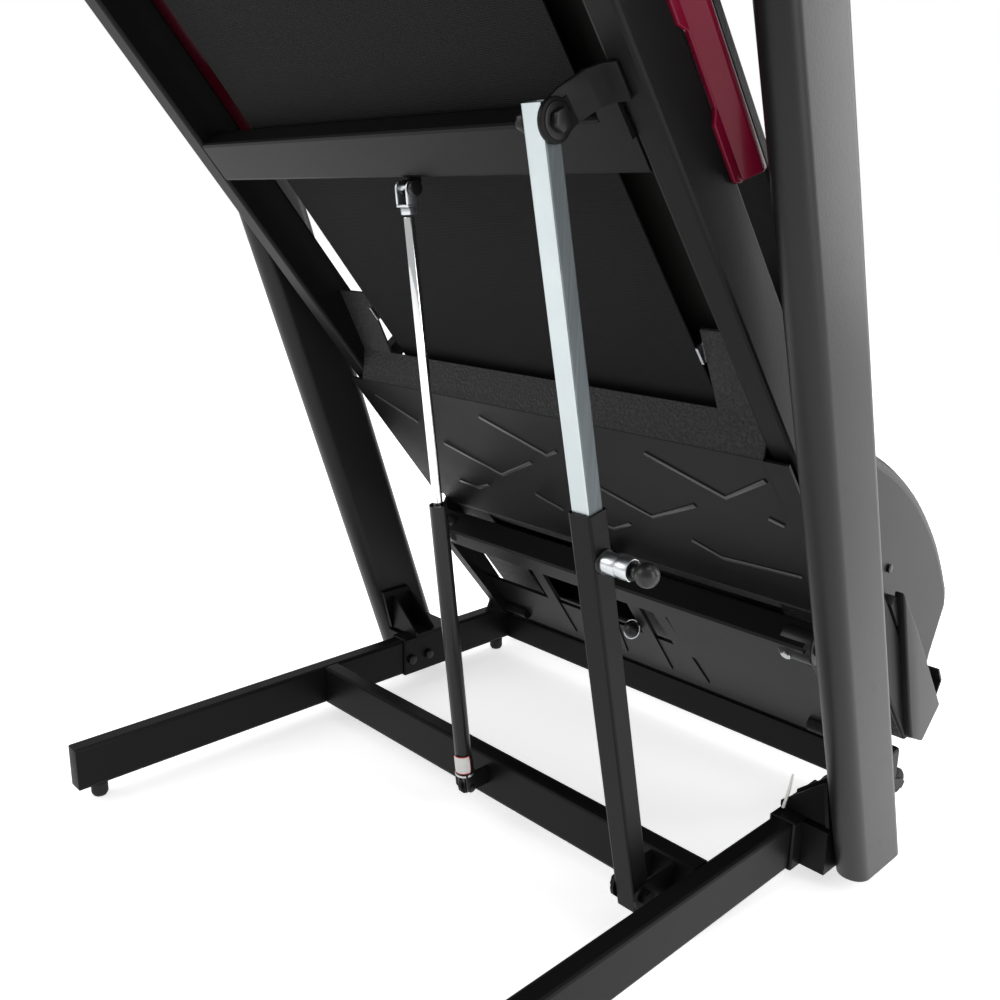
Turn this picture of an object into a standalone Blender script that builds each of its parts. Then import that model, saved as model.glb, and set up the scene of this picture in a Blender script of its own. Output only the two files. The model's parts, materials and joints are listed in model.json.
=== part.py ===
"""Folding treadmill in its folded, upright pose. Metres, +X to the user's right, +Y forwards, +Z up."""
import math

import bmesh
import bpy
from mathutils import Matrix, Vector

# ---- driving dimensions -------------------------------------------------------------
GAP = 0.0003                      # clearance between pieces that touch
BASE_WIDTH = 0.750                # over the two floor rails
RAIL_WIDTH = 0.026
RAIL_HEIGHT = 0.060
RAIL_LENGTH = 0.812
FLOOR_GAP = 0.021                 # height of the feet under the rails
TUBE_WALL = 0.002
MID_TUBE_Y = 0.3878               # rear face of the middle cross tube, from the rails' rear end
CROSS_DEPTH = 0.0255
FRONT_TUBE_Y = 0.7823
FRONT_TUBE_SECTION = (0.018, 0.046)
CENTRE_Y = 0.3226                 # middle of the whole object, from the rails' rear end

UPRIGHT_X = 0.4315                # upright centre line
UPRIGHT_WIDTH = 0.040
UPRIGHT_DEPTH = 0.1055            # measured level, the tube leans
UPRIGHT_FOOT_Y = 0.636            # centre of the upright at floor level
UPRIGHT_LEAN = math.radians(18.55)
UPRIGHT_TOP = 1.250

FOLD_AXIS = Vector((0.0, 0.757, 0.098))
DECK_ANGLE = math.radians(51.45)  # deck slope in the folded pose
DECK_ORIGIN = Vector((0.0, 0.577, 0.400))
DECK_HALF_INNER = 0.344
DECK_TUBE_WIDTH = 0.031
DECK_TUBE_HEIGHT = 0.060
DECK_FRONT = -0.400               # distances along the deck run from DECK_ORIGIN, rearwards positive
DECK_REAR = 1.300
CROSS_MID = 0.5355
CROSS_WIDTH = 0.054
CROSS_HEIGHT = 0.030

BELT_HALF = 0.272
BELT_THICK = 0.0018
PULLEY = 0.036
BELT_BOTTOM = 0.0350              # underside of the return run above the frame's bottom plane
ROLLER_RADIUS = 0.0235
FRONT_ROLLER = 0.085
REAR_ROLLER = 1.265
ROLLER_END = 0.3435
BELT_CLEAR = 0.0005
ROLLER_HEIGHT = BELT_BOTTOM + BELT_THICK + BELT_CLEAR + ROLLER_RADIUS
BOARD_HALF = 0.300
BOARD_BOTTOM = 0.0625
BOARD_THICK = 0.0195
TREAD_BOTTOM = 0.0990

STRUT_X = 0.020
STRUT_LOW = Vector((STRUT_X, 0.3505, 0.0552))
STRUT_TOP_ALONG = 0.5008
STRUT_TOP_HEIGHT = -0.0057
STRUT_BODY_RADIUS = 0.0105
STRUT_ROD_RADIUS = 0.0042
STRUT_BODY_LENGTH = 0.385

LOCK_X = 0.306
LOCK_LOW = Vector((LOCK_X, 0.3365, 0.0575))
LOCK_TOP_ALONG = 0.596
LOCK_TOP_HEIGHT = -0.050
LOCK_OUTER = (0.027, 0.025)
LOCK_INNER = (0.0222, 0.0196)
LOCK_OUTER_LENGTH = 0.458
PLUNGER_Z = 0.4086               # up the lock tube from its lower pivot

LIFT_ALONG = -0.133               # lift frame hinge
LIFT_HEIGHT = -0.044
LIFT_BEAM = 0.040
CRANK_TIP = (-0.1228, 0.0202)

CONSOLE_CENTRE = Vector((0.0, 0.300, 1.200))
CONSOLE_TILT = math.radians(40)

SIDE = (math.pi / 2, 0.0, math.pi / 2)   # an outline drawn in XY stands in the YZ plane, thickness along X

for leftover in list(bpy.data.objects):
    bpy.data.objects.remove(leftover, do_unlink=True)

parts = bpy.data.collections.new("treadmill")
cutters = bpy.data.collections.new("cutters")
bpy.context.scene.collection.children.link(parts)
bpy.context.scene.collection.children.link(cutters)


# ---- materials ----------------------------------------------------------------------
def material(name, colour, roughness, metallic=0.0):
    made = bpy.data.materials.new(name)
    made.use_nodes = True
    shader = made.node_tree.nodes["Principled BSDF"]
    shader.inputs["Base Color"].default_value = (*colour, 1.0)
    shader.inputs["Roughness"].default_value = roughness
    shader.inputs["Metallic"].default_value = metallic
    return made


SATIN_BLACK = material("satin_black_powder_coat", (0.012, 0.012, 0.013), 0.42)
BLACK_PLASTIC = material("black_plastic", (0.02, 0.02, 0.021), 0.5)
RUBBER = material("black_rubber", (0.015, 0.015, 0.015), 0.8)
ZINC = material("bright_zinc", (0.75, 0.77, 0.78), 0.28, 1.0)
CHROME = material("chrome", (0.85, 0.86, 0.87), 0.08, 1.0)
CRIMSON = material("gloss_crimson", (0.33, 0.006, 0.03), 0.18)
WOVEN = material("belt_weave", (0.03, 0.03, 0.031), 0.75)
BOARD = material("laminated_board", (0.05, 0.04, 0.03), 0.6)
CAST = material("motor_metal", (0.25, 0.26, 0.27), 0.45, 0.9)
GLASS = material("display_glass", (0.01, 0.012, 0.015), 0.08)
GREEN = material("start_green", (0.02, 0.35, 0.08), 0.4)
RED = material("stop_red", (0.55, 0.02, 0.02), 0.4)


# ---- frames of reference ------------------------------------------------------------
def frame(name, location, tilt=0.0, parent=None):
    empty = bpy.data.objects.new(name, None)
    empty.empty_display_size = 0.05
    empty.location = location
    empty.rotation_euler = (tilt, 0.0, 0.0)
    empty.parent = parent
    parts.objects.link(empty)
    return empty


base = frame("base_axes", (0.0, -CENTRE_Y, 0.0))
deck = frame("deck_axes", DECK_ORIGIN, -DECK_ANGLE, base)
console = frame("console_axes", CONSOLE_CENTRE, CONSOLE_TILT, base)


def on_deck(x, along, height):
    """A place in the deck's axes from its distance rearwards and its height over the frame's bottom."""
    return Vector((x, -along, height))


def deck_to_base(point):
    return DECK_ORIGIN + Matrix.Rotation(-DECK_ANGLE, 3, "X") @ point


def link_frame(name, low, high):
    """Axes at a link's lower pivot, with +Z along the link."""
    run = high - low
    return frame(name, low, -math.atan2(run.y, run.z), base), run.length


strut_top = deck_to_base(on_deck(STRUT_X, STRUT_TOP_ALONG, STRUT_TOP_HEIGHT))
strut, strut_length = link_frame("strut_axes", STRUT_LOW, strut_top)
lock_top = deck_to_base(on_deck(LOCK_X, LOCK_TOP_ALONG, LOCK_TOP_HEIGHT))
lock, lock_length = link_frame("lock_axes", LOCK_LOW, lock_top)


# ---- makers -------------------------------------------------------------------------
def finish(name, data, parent, at, turn, finish_material, group=parts):
    made = bpy.data.objects.new(name, data)
    made.parent = parent
    made.location = at
    made.rotation_euler = turn
    data.materials.append(finish_material)
    group.objects.link(made)
    if group is cutters:
        made.hide_render = True
        made.display_type = "WIRE"
    return made


def bevel(made, width, segments=1):
    edge = made.modifiers.new("rounded_edges", "BEVEL")
    edge.width = width
    edge.segments = segments
    edge.limit_method = "ANGLE"
    edge.angle_limit = math.radians(40)
    return made


def box(name, size, at, parent, finish_material, edge=0.0, group=parts, turn=(0, 0, 0), segments=1):
    mesh = bpy.data.meshes.new(name)
    shape = bmesh.new()
    bmesh.ops.create_cube(shape, size=1.0)
    bmesh.ops.scale(shape, vec=Vector(size), verts=shape.verts)
    shape.to_mesh(mesh)
    shape.free()
    made = finish(name, mesh, parent, at, turn, finish_material, group)
    return bevel(made, edge, segments) if edge else made


def rod(name, radius, length, at, parent, finish_material, axis="X", sides=20, group=parts, tip=None, edge=0.0):
    mesh = bpy.data.meshes.new(name)
    shape = bmesh.new()
    bmesh.ops.create_cone(shape, cap_ends=True, segments=sides, radius1=radius,
                          radius2=radius if tip is None else tip, depth=length)
    shape.to_mesh(mesh)
    shape.free()
    mesh.shade_smooth()
    mesh.set_sharp_from_angle(angle=math.radians(40))
    turn = {"X": (0, math.pi / 2, 0), "Y": (math.pi / 2, 0, 0), "Z": (0, 0, 0)}[axis]
    made = finish(name, mesh, parent, at, turn, finish_material, group)
    return bevel(made, edge) if edge else made


def ball(name, radius, at, parent, finish_material, group=parts):
    mesh = bpy.data.meshes.new(name)
    shape = bmesh.new()
    bmesh.ops.create_uvsphere(shape, u_segments=16, v_segments=10, radius=radius)
    shape.to_mesh(mesh)
    shape.free()
    mesh.shade_smooth()
    return finish(name, mesh, parent, at, (0, 0, 0), finish_material, group)


def turned(name, profile, at, parent, finish_material, axis="X", sides=24, group=parts):
    """A solid of revolution: profile is (radius, height) pairs from the top down the outer side."""
    mesh = bpy.data.meshes.new(name)
    points = [(radius, 0.0, height) for radius, height in profile]
    mesh.from_pydata(points, [(i, i + 1) for i in range(len(points) - 1)], [])
    turn = {"X": (0, math.pi / 2, 0), "Y": (math.pi / 2, 0, 0), "Z": (0, 0, 0)}[axis]
    made = finish(name, mesh, parent, at, turn, finish_material, group)
    screw = made.modifiers.new("turned", "SCREW")
    screw.steps = sides
    screw.render_steps = sides
    screw.use_merge_vertices = True
    screw.merge_threshold = 0.00001
    screw.use_smooth_shade = True
    return made


def outline(name, loops, thickness, at, parent, finish_material, turn=(0, 0, 0), group=parts):
    """A flat shape, the first loop its edge and the others holes, made solid by an extrusion."""
    flat = bpy.data.curves.new(name, "CURVE")
    flat.dimensions = "2D"
    flat.fill_mode = "BOTH"
    flat.extrude = thickness / 2
    for loop in loops:
        run = flat.splines.new("POLY")
        run.points.add(len(loop) - 1)
        for point, (x, y) in zip(run.points, loop):
            point.co = (x, y, 0.0, 1.0)
        run.use_cyclic_u = True
    return finish(name, flat, parent, at, turn, finish_material, group)


def meshed(made):
    """The curve object as a closed mesh object of the same name and place."""
    bpy.context.view_layer.update()
    name = made.name
    graph = bpy.context.evaluated_depsgraph_get()
    mesh = bpy.data.meshes.new_from_object(made.evaluated_get(graph))
    shape = bmesh.new()
    shape.from_mesh(mesh)
    bmesh.ops.remove_doubles(shape, verts=shape.verts, dist=0.00001)
    shape.to_mesh(mesh)
    shape.free()
    parent, place = made.parent, made.matrix_world.copy()
    group = made.users_collection[0]
    bpy.data.objects.remove(made, do_unlink=True)
    again = bpy.data.objects.new(name, mesh)
    group.objects.link(again)
    again.parent = parent
    again.matrix_world = place
    mesh.materials.clear()
    if group is cutters:
        again.hide_render = True
        again.display_type = "WIRE"
    return again


def meshed_with(made, finish_material):
    again = meshed(made)
    again.data.materials.append(finish_material)
    return again


def boolean(made, other, operation):
    cut = made.modifiers.new(operation.lower(), "BOOLEAN")
    cut.operation = operation
    cut.solver = "EXACT"
    cut.object = other
    return made


def join(made, *others):
    for other in others:
        boolean(made, other, "UNION")
    return made


def cut(made, *others):
    for other in others:
        boolean(made, other, "DIFFERENCE")
    return made


def arc(centre, radius, start, end, steps):
    """Points of a circular arc, angles in degrees, both ends included."""
    turns = [math.radians(start + (end - start) * i / steps) for i in range(steps + 1)]
    return [(centre[0] + radius * math.cos(t), centre[1] + radius * math.sin(t)) for t in turns]


def rounded(width, height, radius, steps=2):
    """A rectangle's outline with round corners, centred."""
    x, y = width / 2 - radius, height / 2 - radius
    corners = ((x, y, 0), (-x, y, 90), (-x, -y, 180), (x, -y, 270))
    return [point for cx, cy, start in corners for point in arc((cx, cy), radius, start, start + 90, steps)]


def tube(name, width, height, length, at, parent, finish_material, turn, radius=0.004, wall=TUBE_WALL):
    """A rectangular tube, open at both ends."""
    inside = rounded(width - 2 * wall, height - 2 * wall, max(radius - wall, 0.001), 1)
    return outline(name, [rounded(width, height, radius), inside], length, at, parent, finish_material, turn)


# ---- floor frame --------------------------------------------------------------------
RAIL_TOP = FLOOR_GAP + RAIL_HEIGHT
RAIL_MIDDLE = FLOOR_GAP + RAIL_HEIGHT / 2
RAIL_X = BASE_WIDTH / 2 - RAIL_WIDTH / 2
INSIDE_X = BASE_WIDTH / 2 - RAIL_WIDTH
ALONG_Y = (math.pi / 2, 0.0, 0.0)      # an outline's thickness runs along Y
ALONG_X = (math.pi / 2, 0.0, math.pi / 2)
SIDES = (("left", -1), ("right", 1))


def make_floor_frame():
    for side, sign in SIDES:
        rail = meshed_with(tube("base_rail_" + side, RAIL_WIDTH, RAIL_HEIGHT, RAIL_LENGTH,
                                (sign * RAIL_X, RAIL_LENGTH / 2, RAIL_MIDDLE), base, SATIN_BLACK, ALONG_Y), SATIN_BLACK)
        join(rail, *fold_lug(side, sign), *wheel_fork(side, sign))
    length = 2 * (INSIDE_X - GAP)
    middle = meshed_with(tube("base_mid_tube", CROSS_DEPTH, RAIL_HEIGHT, length,
                              (0, MID_TUBE_Y + CROSS_DEPTH / 2, RAIL_MIDDLE), base, SATIN_BLACK, ALONG_X), SATIN_BLACK)
    depth, height = FRONT_TUBE_SECTION
    tube("base_front_tube", depth, height, length, (0, FRONT_TUBE_Y + depth / 2, FLOOR_GAP + height / 2), base,
         SATIN_BLACK, ALONG_X)
    join(middle, strut_base_lug(), *lock_base_lugs())


def eye_lug(name, x, thickness, pivot, back, half, hole):
    """A plate that reaches rearwards from a cross tube to a round eye about the pivot."""
    loop = arc((pivot.y, pivot.z), half, 90, 270, 6) + [(back, pivot.z - half), (back, pivot.z + half)]
    ring = arc((pivot.y, pivot.z), hole, 0, 330, 11)
    made = outline(name, [loop, ring], thickness, (x, 0, 0), base, SATIN_BLACK, SIDE, cutters)
    return meshed(made)


def strut_base_lug():
    return eye_lug("strut_base_lug", STRUT_X, 0.005, STRUT_LOW, MID_TUBE_Y + 0.001, 0.012, 0.0045)


def lock_base_lugs():
    reach = LOCK_OUTER[0] / 2 + 0.0028
    return [eye_lug("lock_base_lug_" + side, LOCK_X + sign * reach, 0.004, LOCK_LOW,
                    MID_TUBE_Y + 0.001, 0.016, 0.0055) for side, sign in SIDES]


def fold_lug(side, sign):
    """A plate standing on the rail with the stub pin on the fold axis."""
    low = RAIL_TOP - TUBE_WALL / 2
    loop = arc((FOLD_AXIS.y, FOLD_AXIS.z), 0.015, 0, 180, 8) + [(FOLD_AXIS.y - 0.024, low), (FOLD_AXIS.y + 0.024, low)]
    plate = meshed(outline("fold_lug_" + side, [loop], 0.006, (sign * 0.3535, 0, 0), base, SATIN_BLACK, SIDE, cutters))
    pin = rod("fold_pin_" + side, 0.008, 0.0150, (sign * 0.3479, FOLD_AXIS.y, FOLD_AXIS.z), base, SATIN_BLACK,
              sides=16, group=cutters)
    return plate, pin


WHEEL_Y, WHEEL_Z, WHEEL_RADIUS = RAIL_LENGTH + 0.021, 0.0195, 0.0180


def wheel_fork(side, sign):
    """A tongue from the rail's outer wall and the transport wheel's pin."""
    loop = [(RAIL_LENGTH - 0.030, 0.024), (WHEEL_Y, WHEEL_Z - 0.007), (WHEEL_Y + 0.007, WHEEL_Z),
            (WHEEL_Y, WHEEL_Z + 0.007), (RAIL_LENGTH - 0.030, 0.046)]
    tongue = meshed(outline("wheel_tongue_" + side, [loop], 0.003, (sign * (BASE_WIDTH / 2 - 0.0008), 0, 0), base,
                            SATIN_BLACK, SIDE, cutters))
    pin = rod("wheel_pin_" + side, 0.004, 0.024, (sign * (RAIL_X + 0.001), WHEEL_Y, WHEEL_Z), base, SATIN_BLACK,
              sides=12, group=cutters)
    return tongue, pin


def make_feet():
    pad = [(0.0, 0.0), (0.0095, 0.0), (0.0110, -0.003), (0.0110, -0.0165), (0.0085, -0.0207), (0.0, -0.0207)]
    for side, sign in SIDES:
        for end, y in (("rear", 0.031), ("front", 0.768)):
            turned(f"foot_{end}_{side}", pad, (sign * (RAIL_X + 0.0015), y, FLOOR_GAP - GAP), base, RUBBER, "Z", 16)
        wheel = rod("transport_wheel_" + side, WHEEL_RADIUS, 0.017, (sign * RAIL_X, WHEEL_Y, WHEEL_Z), base, RUBBER,
                    sides=24, edge=0.003)
        cut(wheel, rod("wheel_bore_" + side, 0.0044, 0.04, (sign * RAIL_X, WHEEL_Y, WHEEL_Z), base, SATIN_BLACK,
                       sides=12, group=cutters))


# ---- uprights -----------------------------------------------------------------------
def upright_y(z):
    return UPRIGHT_FOOT_Y - z * math.tan(UPRIGHT_LEAN)


def make_uprights():
    section = rounded(UPRIGHT_WIDTH, UPRIGHT_DEPTH, 0.0195, 4)
    inside = rounded(UPRIGHT_WIDTH - 0.005, UPRIGHT_DEPTH - 0.005, 0.017, 3)
    height = UPRIGHT_TOP - FLOOR_GAP
    for side, sign in SIDES:
        made = meshed(outline("upright_" + side, [section, inside], height,
                              (sign * UPRIGHT_X, 0, FLOOR_GAP + height / 2), base, SATIN_BLACK))
        made.data.materials.append(SATIN_BLACK)
        for vertex in made.data.vertices:
            vertex.co.y += upright_y(vertex.co.z + FLOOR_GAP + height / 2)
        made.data.shade_smooth()
        made.data.set_sharp_from_angle(angle=math.radians(40))
        make_upright_bracket(side, sign)


def make_upright_bracket(side, sign):
    """A sleeve over the rail, a block out to the upright and a ribbed plate up its inner face."""
    inner, outer = INSIDE_X - 0.004, BASE_WIDTH / 2 + 0.004
    sleeve = box("upright_bracket_" + side, (outer - inner, 0.112, 0.064),
                 (sign * (inner + outer) / 2, 0.598, RAIL_MIDDLE), base, SATIN_BLACK, 0.002)
    slot = box("bracket_slot_" + side, (RAIL_WIDTH + 2 * GAP, 0.3, RAIL_HEIGHT + 2 * GAP),
               (sign * RAIL_X, 0.598, RAIL_MIDDLE), base, SATIN_BLACK, group=cutters)
    reach = UPRIGHT_X - UPRIGHT_WIDTH / 2 - GAP
    block = box("bracket_block_" + side, (reach - outer + 0.002, 0.090, 0.056),
                (sign * (reach + outer - 0.002) / 2, 0.606, RAIL_MIDDLE - 0.001), base, SATIN_BLACK, group=cutters)
    low, high = RAIL_TOP + 0.002, 0.148
    plate_loop = [(upright_y(low) - 0.045, low), (upright_y(low) + 0.030, low), (upright_y(high) + 0.014, high),
                  (upright_y(high) - 0.040, high)]
    plate = meshed(outline("bracket_plate_" + side, [plate_loop], 0.005, (sign * (reach - 0.0025), 0, 0), base,
                           SATIN_BLACK, SIDE, cutters))
    tray = box("bracket_tray_" + side, (reach - inner, 0.078, 0.0045),
               (sign * (reach + inner) / 2, 0.606, RAIL_TOP + 0.003), base, SATIN_BLACK, group=cutters)
    join(sleeve, block, plate, tray)
    for step, y in enumerate((0.568, 0.604)):
        rib = outline(f"bracket_rib_{step}_{side}",
                      [[(0, 0), (reach - inner - 0.006, 0), (reach - inner - 0.006, 0.052), (reach - inner - 0.012, 0.052),
                        (0, 0.006)]], 0.004,
                      (sign * inner, y, RAIL_TOP + 0.003), base, SATIN_BLACK,
                      (math.pi / 2, 0, 0 if sign > 0 else math.pi), cutters)
        join(sleeve, meshed(rib))
    cut(sleeve, slot)


# ---- deck frame ---------------------------------------------------------------------
def deck_box(name, size, x, along, height, finish_material, edge=0.0, group=parts):
    return box(name, (size[0], size[1], size[2]), on_deck(x, along, height), deck, finish_material, edge, group)


def deck_outline(name, loops, thickness, x, finish_material, group=parts):
    """A side outline in (along, height) coordinates, thickness across the deck."""
    flipped = [[(-along, height) for along, height in loop] for loop in loops]
    return outline(name, flipped, thickness, (x, 0, 0), deck, finish_material, SIDE, group)


def make_deck_frame():
    middle, length = (DECK_REAR + DECK_FRONT) / 2, DECK_REAR - DECK_FRONT
    for side, sign in SIDES:
        at = on_deck(sign * (DECK_HALF_INNER + DECK_TUBE_WIDTH / 2), middle, DECK_TUBE_HEIGHT / 2)
        made = meshed(tube("deck_tube_" + side, DECK_TUBE_WIDTH, DECK_TUBE_HEIGHT, length, at, deck,
                           SATIN_BLACK, ALONG_Y))
        made.data.materials.append(SATIN_BLACK)
        hinge = [arc((LIFT_ALONG, LIFT_HEIGHT), 0.0112, 180, 360, 6) + [(LIFT_ALONG + 0.030, 0.001),
                                                                   (LIFT_ALONG - 0.030, 0.001)],
                 arc((LIFT_ALONG, LIFT_HEIGHT), 0.0085, 0, 330, 11)]
        join(made, meshed(deck_outline("lift_hinge_" + side, hinge, 0.006, sign * 0.3490, SATIN_BLACK, cutters)))
    width = 2 * (DECK_HALF_INNER - GAP)
    cross = meshed(tube("deck_cross_tube", CROSS_HEIGHT, CROSS_WIDTH, width, on_deck(0, CROSS_MID, CROSS_HEIGHT / 2),
                        deck, SATIN_BLACK, (0, math.pi / 2, 0)))
    cross.data.materials.append(SATIN_BLACK)
    join(cross, strut_top_lug(), *lock_ear())
    tube("deck_front_tube", 0.030, 0.040, width, on_deck(0, DECK_FRONT + 0.0165, 0.030), deck, SATIN_BLACK,
         ALONG_X)


def notched_eye(centre, radius, slot, opening, steps=10):
    """An eye's outline with a slot from its centre out through the rim towards the opening angle."""
    half = math.degrees(math.asin(slot / radius))
    rim = arc(centre, radius, opening + half, opening + 360 - half, steps)
    seat = arc(centre, slot, opening - 90, opening - 270, 6)
    return rim + seat


NOTCH = -38.0                     # direction in which a link's pin leaves its eye, from the deck's rearward line


def strut_top_lug():
    """A plate under the cross tube, notched where the strut's pin sits."""
    centre = (STRUT_TOP_ALONG, STRUT_TOP_HEIGHT)
    eye = notched_eye(centre, 0.0085, 0.0042, NOTCH)
    plate = meshed(deck_outline("strut_lug_eye", [eye], 0.0050, STRUT_X, SATIN_BLACK, cutters))
    low = CROSS_MID - CROSS_WIDTH / 2 + 0.002
    web = deck_outline("strut_lug_web", [[(centre[0] - 0.006, 0.0020), (low, 0.0035), (low, 0.022),
                                          (centre[0] - 0.006, 0.014)]], 0.0050, STRUT_X, SATIN_BLACK, cutters)
    return join(plate, meshed(web))


def lock_ear():
    """A strip bent from the right-hand tube down to an ear beside the lock tube."""
    centre = (LOCK_TOP_ALONG, LOCK_TOP_HEIGHT)
    ear_x = LOCK_X + LOCK_INNER[0] / 2 + 0.0030 + GAP
    eye = notched_eye(centre, 0.0165, 0.0056, NOTCH)
    plate = meshed(deck_outline("lock_ear_eye", [eye], 0.0045, ear_x, SATIN_BLACK, cutters))
    stem = meshed(deck_outline("lock_ear_stem", [[(centre[0] - 0.0160, LOCK_TOP_HEIGHT + 0.004),
                                                  (centre[0] - 0.0020, LOCK_TOP_HEIGHT + 0.0145),
                                                  (centre[0] + 0.0080, LOCK_TOP_HEIGHT + 0.0135),
                                                  (centre[0] + 0.0120, -0.0005), (0.580, -0.0005)]],
                               0.0045, ear_x, SATIN_BLACK, cutters))
    foot = deck_box("lock_ear_foot", (0.026, 0.063, 0.0045), ear_x + 0.0105, 0.5765, -0.0025, SATIN_BLACK,
                    group=cutters)
    pad = deck_box("lock_ear_pad", (0.026, 0.016, 0.010), ear_x + 0.0060, 0.5540, 0.0020, SATIN_BLACK, group=cutters)
    return plate, stem, foot, pad


# ---- running gear -------------------------------------------------------------------
def make_belt():
    low, high = BELT_BOTTOM, ROLLER_HEIGHT + ROLLER_RADIUS + BELT_CLEAR + BELT_THICK
    centre = (low + high) / 2
    outer = (high - low) / 2

    def stadium(radius):
        return arc((REAR_ROLLER, centre), radius, -90, 90, 16) + arc((FRONT_ROLLER, centre), radius, 90, 270, 16)

    deck_outline("running_belt", [stadium(outer), stadium(outer - BELT_THICK)], 2 * BELT_HALF, 0, WOVEN)


def make_rollers():
    half = BELT_HALF + 0.010
    axle = 0.0075
    for name, along in (("front_roller", FRONT_ROLLER), ("rear_roller", REAR_ROLLER)):
        drum = rod(name, ROLLER_RADIUS, 2 * half, on_deck(0, along, ROLLER_HEIGHT), deck, ZINC, sides=24)
        join(drum, rod(name + "_axle", axle, 2 * ROLLER_END, on_deck(0, along, ROLLER_HEIGHT), deck, ZINC,
                       sides=16, group=cutters))
    front = bpy.data.objects["front_roller"]
    pulley = [(0.0, 0.034), (PULLEY, 0.034), (PULLEY - 0.003, 0.030), (PULLEY - 0.003, 0.012), (PULLEY, 0.008),
              (0.0, 0.008)]
    join(front, turned("roller_pulley", pulley, on_deck(half, FRONT_ROLLER, ROLLER_HEIGHT), deck, ZINC, sides=24,
                       group=cutters))
    join(front, rod("roller_hub", 0.016, 0.012, on_deck(half + 0.004, FRONT_ROLLER, ROLLER_HEIGHT), deck, ZINC,
                    sides=16, group=cutters))


def make_board():
    length = REAR_ROLLER - FRONT_ROLLER - 0.090
    middle = (REAR_ROLLER + FRONT_ROLLER) / 2
    deck_box("deck_board", (2 * BOARD_HALF, length, BOARD_THICK), 0, middle, BOARD_BOTTOM + BOARD_THICK / 2,
             BOARD, 0.002)
    for side, sign in SIDES:
        guide = deck_box("belt_guide_" + side, (0.0030, 0.022, 0.0300), sign * 0.2762, 0.262, BOARD_BOTTOM - GAP - 0.015,
                         ZINC)
        join(guide, deck_box("belt_guide_foot_" + side, (0.020, 0.022, 0.0030), sign * 0.2850, 0.262,
                             BOARD_BOTTOM - GAP - 0.0015, ZINC, group=cutters))


def make_foot_rails():
    """Treads beside the belt on posts that stand on the side tubes, and crimson skirts under their edges."""
    start, end = 0.1255, DECK_REAR + 0.030
    middle, length = (start + end) / 2, end - start
    for side, sign in SIDES:
        tread = deck_box("foot_rail_" + side, (0.086, length, 0.014), sign * 0.3330, middle, TREAD_BOTTOM + 0.007,
                         BLACK_PLASTIC, 0.003)
        low = DECK_TUBE_HEIGHT + GAP
        for i, along in enumerate((0.150, 1.000, 1.180)):
            post = deck_box(f"tread_post_{i}_{side}", (0.018, 0.024, TREAD_BOTTOM + 0.004 - low), sign * 0.3590, along,
                            (TREAD_BOTTOM + 0.004 + low) / 2, BLACK_PLASTIC, group=cutters)
            join(tread, post)
        make_trim(side, sign)


def make_trim(side, sign):
    """A crimson skirt of angled section with a stepped lower edge, from beside the cross tube to the rear."""
    start, end, low = 0.455, DECK_REAR + 0.010, 0.0520
    outer = [(0.3783, low), (0.3783, 0.0610), (0.3920, 0.0740), (0.3920, 0.0800), (0.3765, 0.0987)]
    inner = [(0.3732, 0.0987), (0.3890, 0.0790), (0.3890, 0.0754), (0.3755, 0.0624), (0.3755, low)]
    section = [(sign * x, height) for x, height in outer + inner]
    skirt = meshed_with(outline("side_trim_" + side, [section], end - start, on_deck(0, (start + end) / 2, 0), deck,
                                CRIMSON, ALONG_Y), CRIMSON)
    for i, (first, last) in enumerate(((0.527, 0.595), (0.667, 0.735), (0.807, 0.875), (0.947, 1.015),
                                       (1.087, 1.155), (1.227, 1.320))):
        cut(skirt, deck_box(f"trim_step_{i}_{side}", (0.030, last - first, 0.020), sign * 0.3780, (first + last) / 2,
                            0.0508, CRIMSON, group=cutters))


def make_rear_ends():
    """End caps that carry the rear roller, and legs that stand on the floor when the deck is down."""
    end = DECK_REAR + GAP
    for side, sign in SIDES:
        shell = deck_outline("rear_cap_" + side, [[(end - 0.075, 0.0605), (end - 0.075, 0.0985), (end + 0.030, 0.0985),
                                                   (end + 0.042, 0.0700), (end + 0.040, -0.004), (end, -0.004),
                                                   (end, 0.0605)]], 0.052, sign * 0.3460, BLACK_PLASTIC)
        deck_outline("rear_leg_" + side, [[(1.160, -GAP), (1.292, -GAP), (1.286, -0.050), (1.272, -0.1015),
                                           (1.226, -0.1015), (1.190, -0.050)]], 0.028,
                     sign * (DECK_HALF_INNER + DECK_TUBE_WIDTH / 2), RUBBER)
        bore = rod("rear_cap_bore_" + side, 0.0085, 0.2, on_deck(sign * 0.30, REAR_ROLLER, ROLLER_HEIGHT), deck,
                   BLACK_PLASTIC, group=cutters, sides=12)
        cut(meshed_with(shell, BLACK_PLASTIC), bore)


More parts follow.
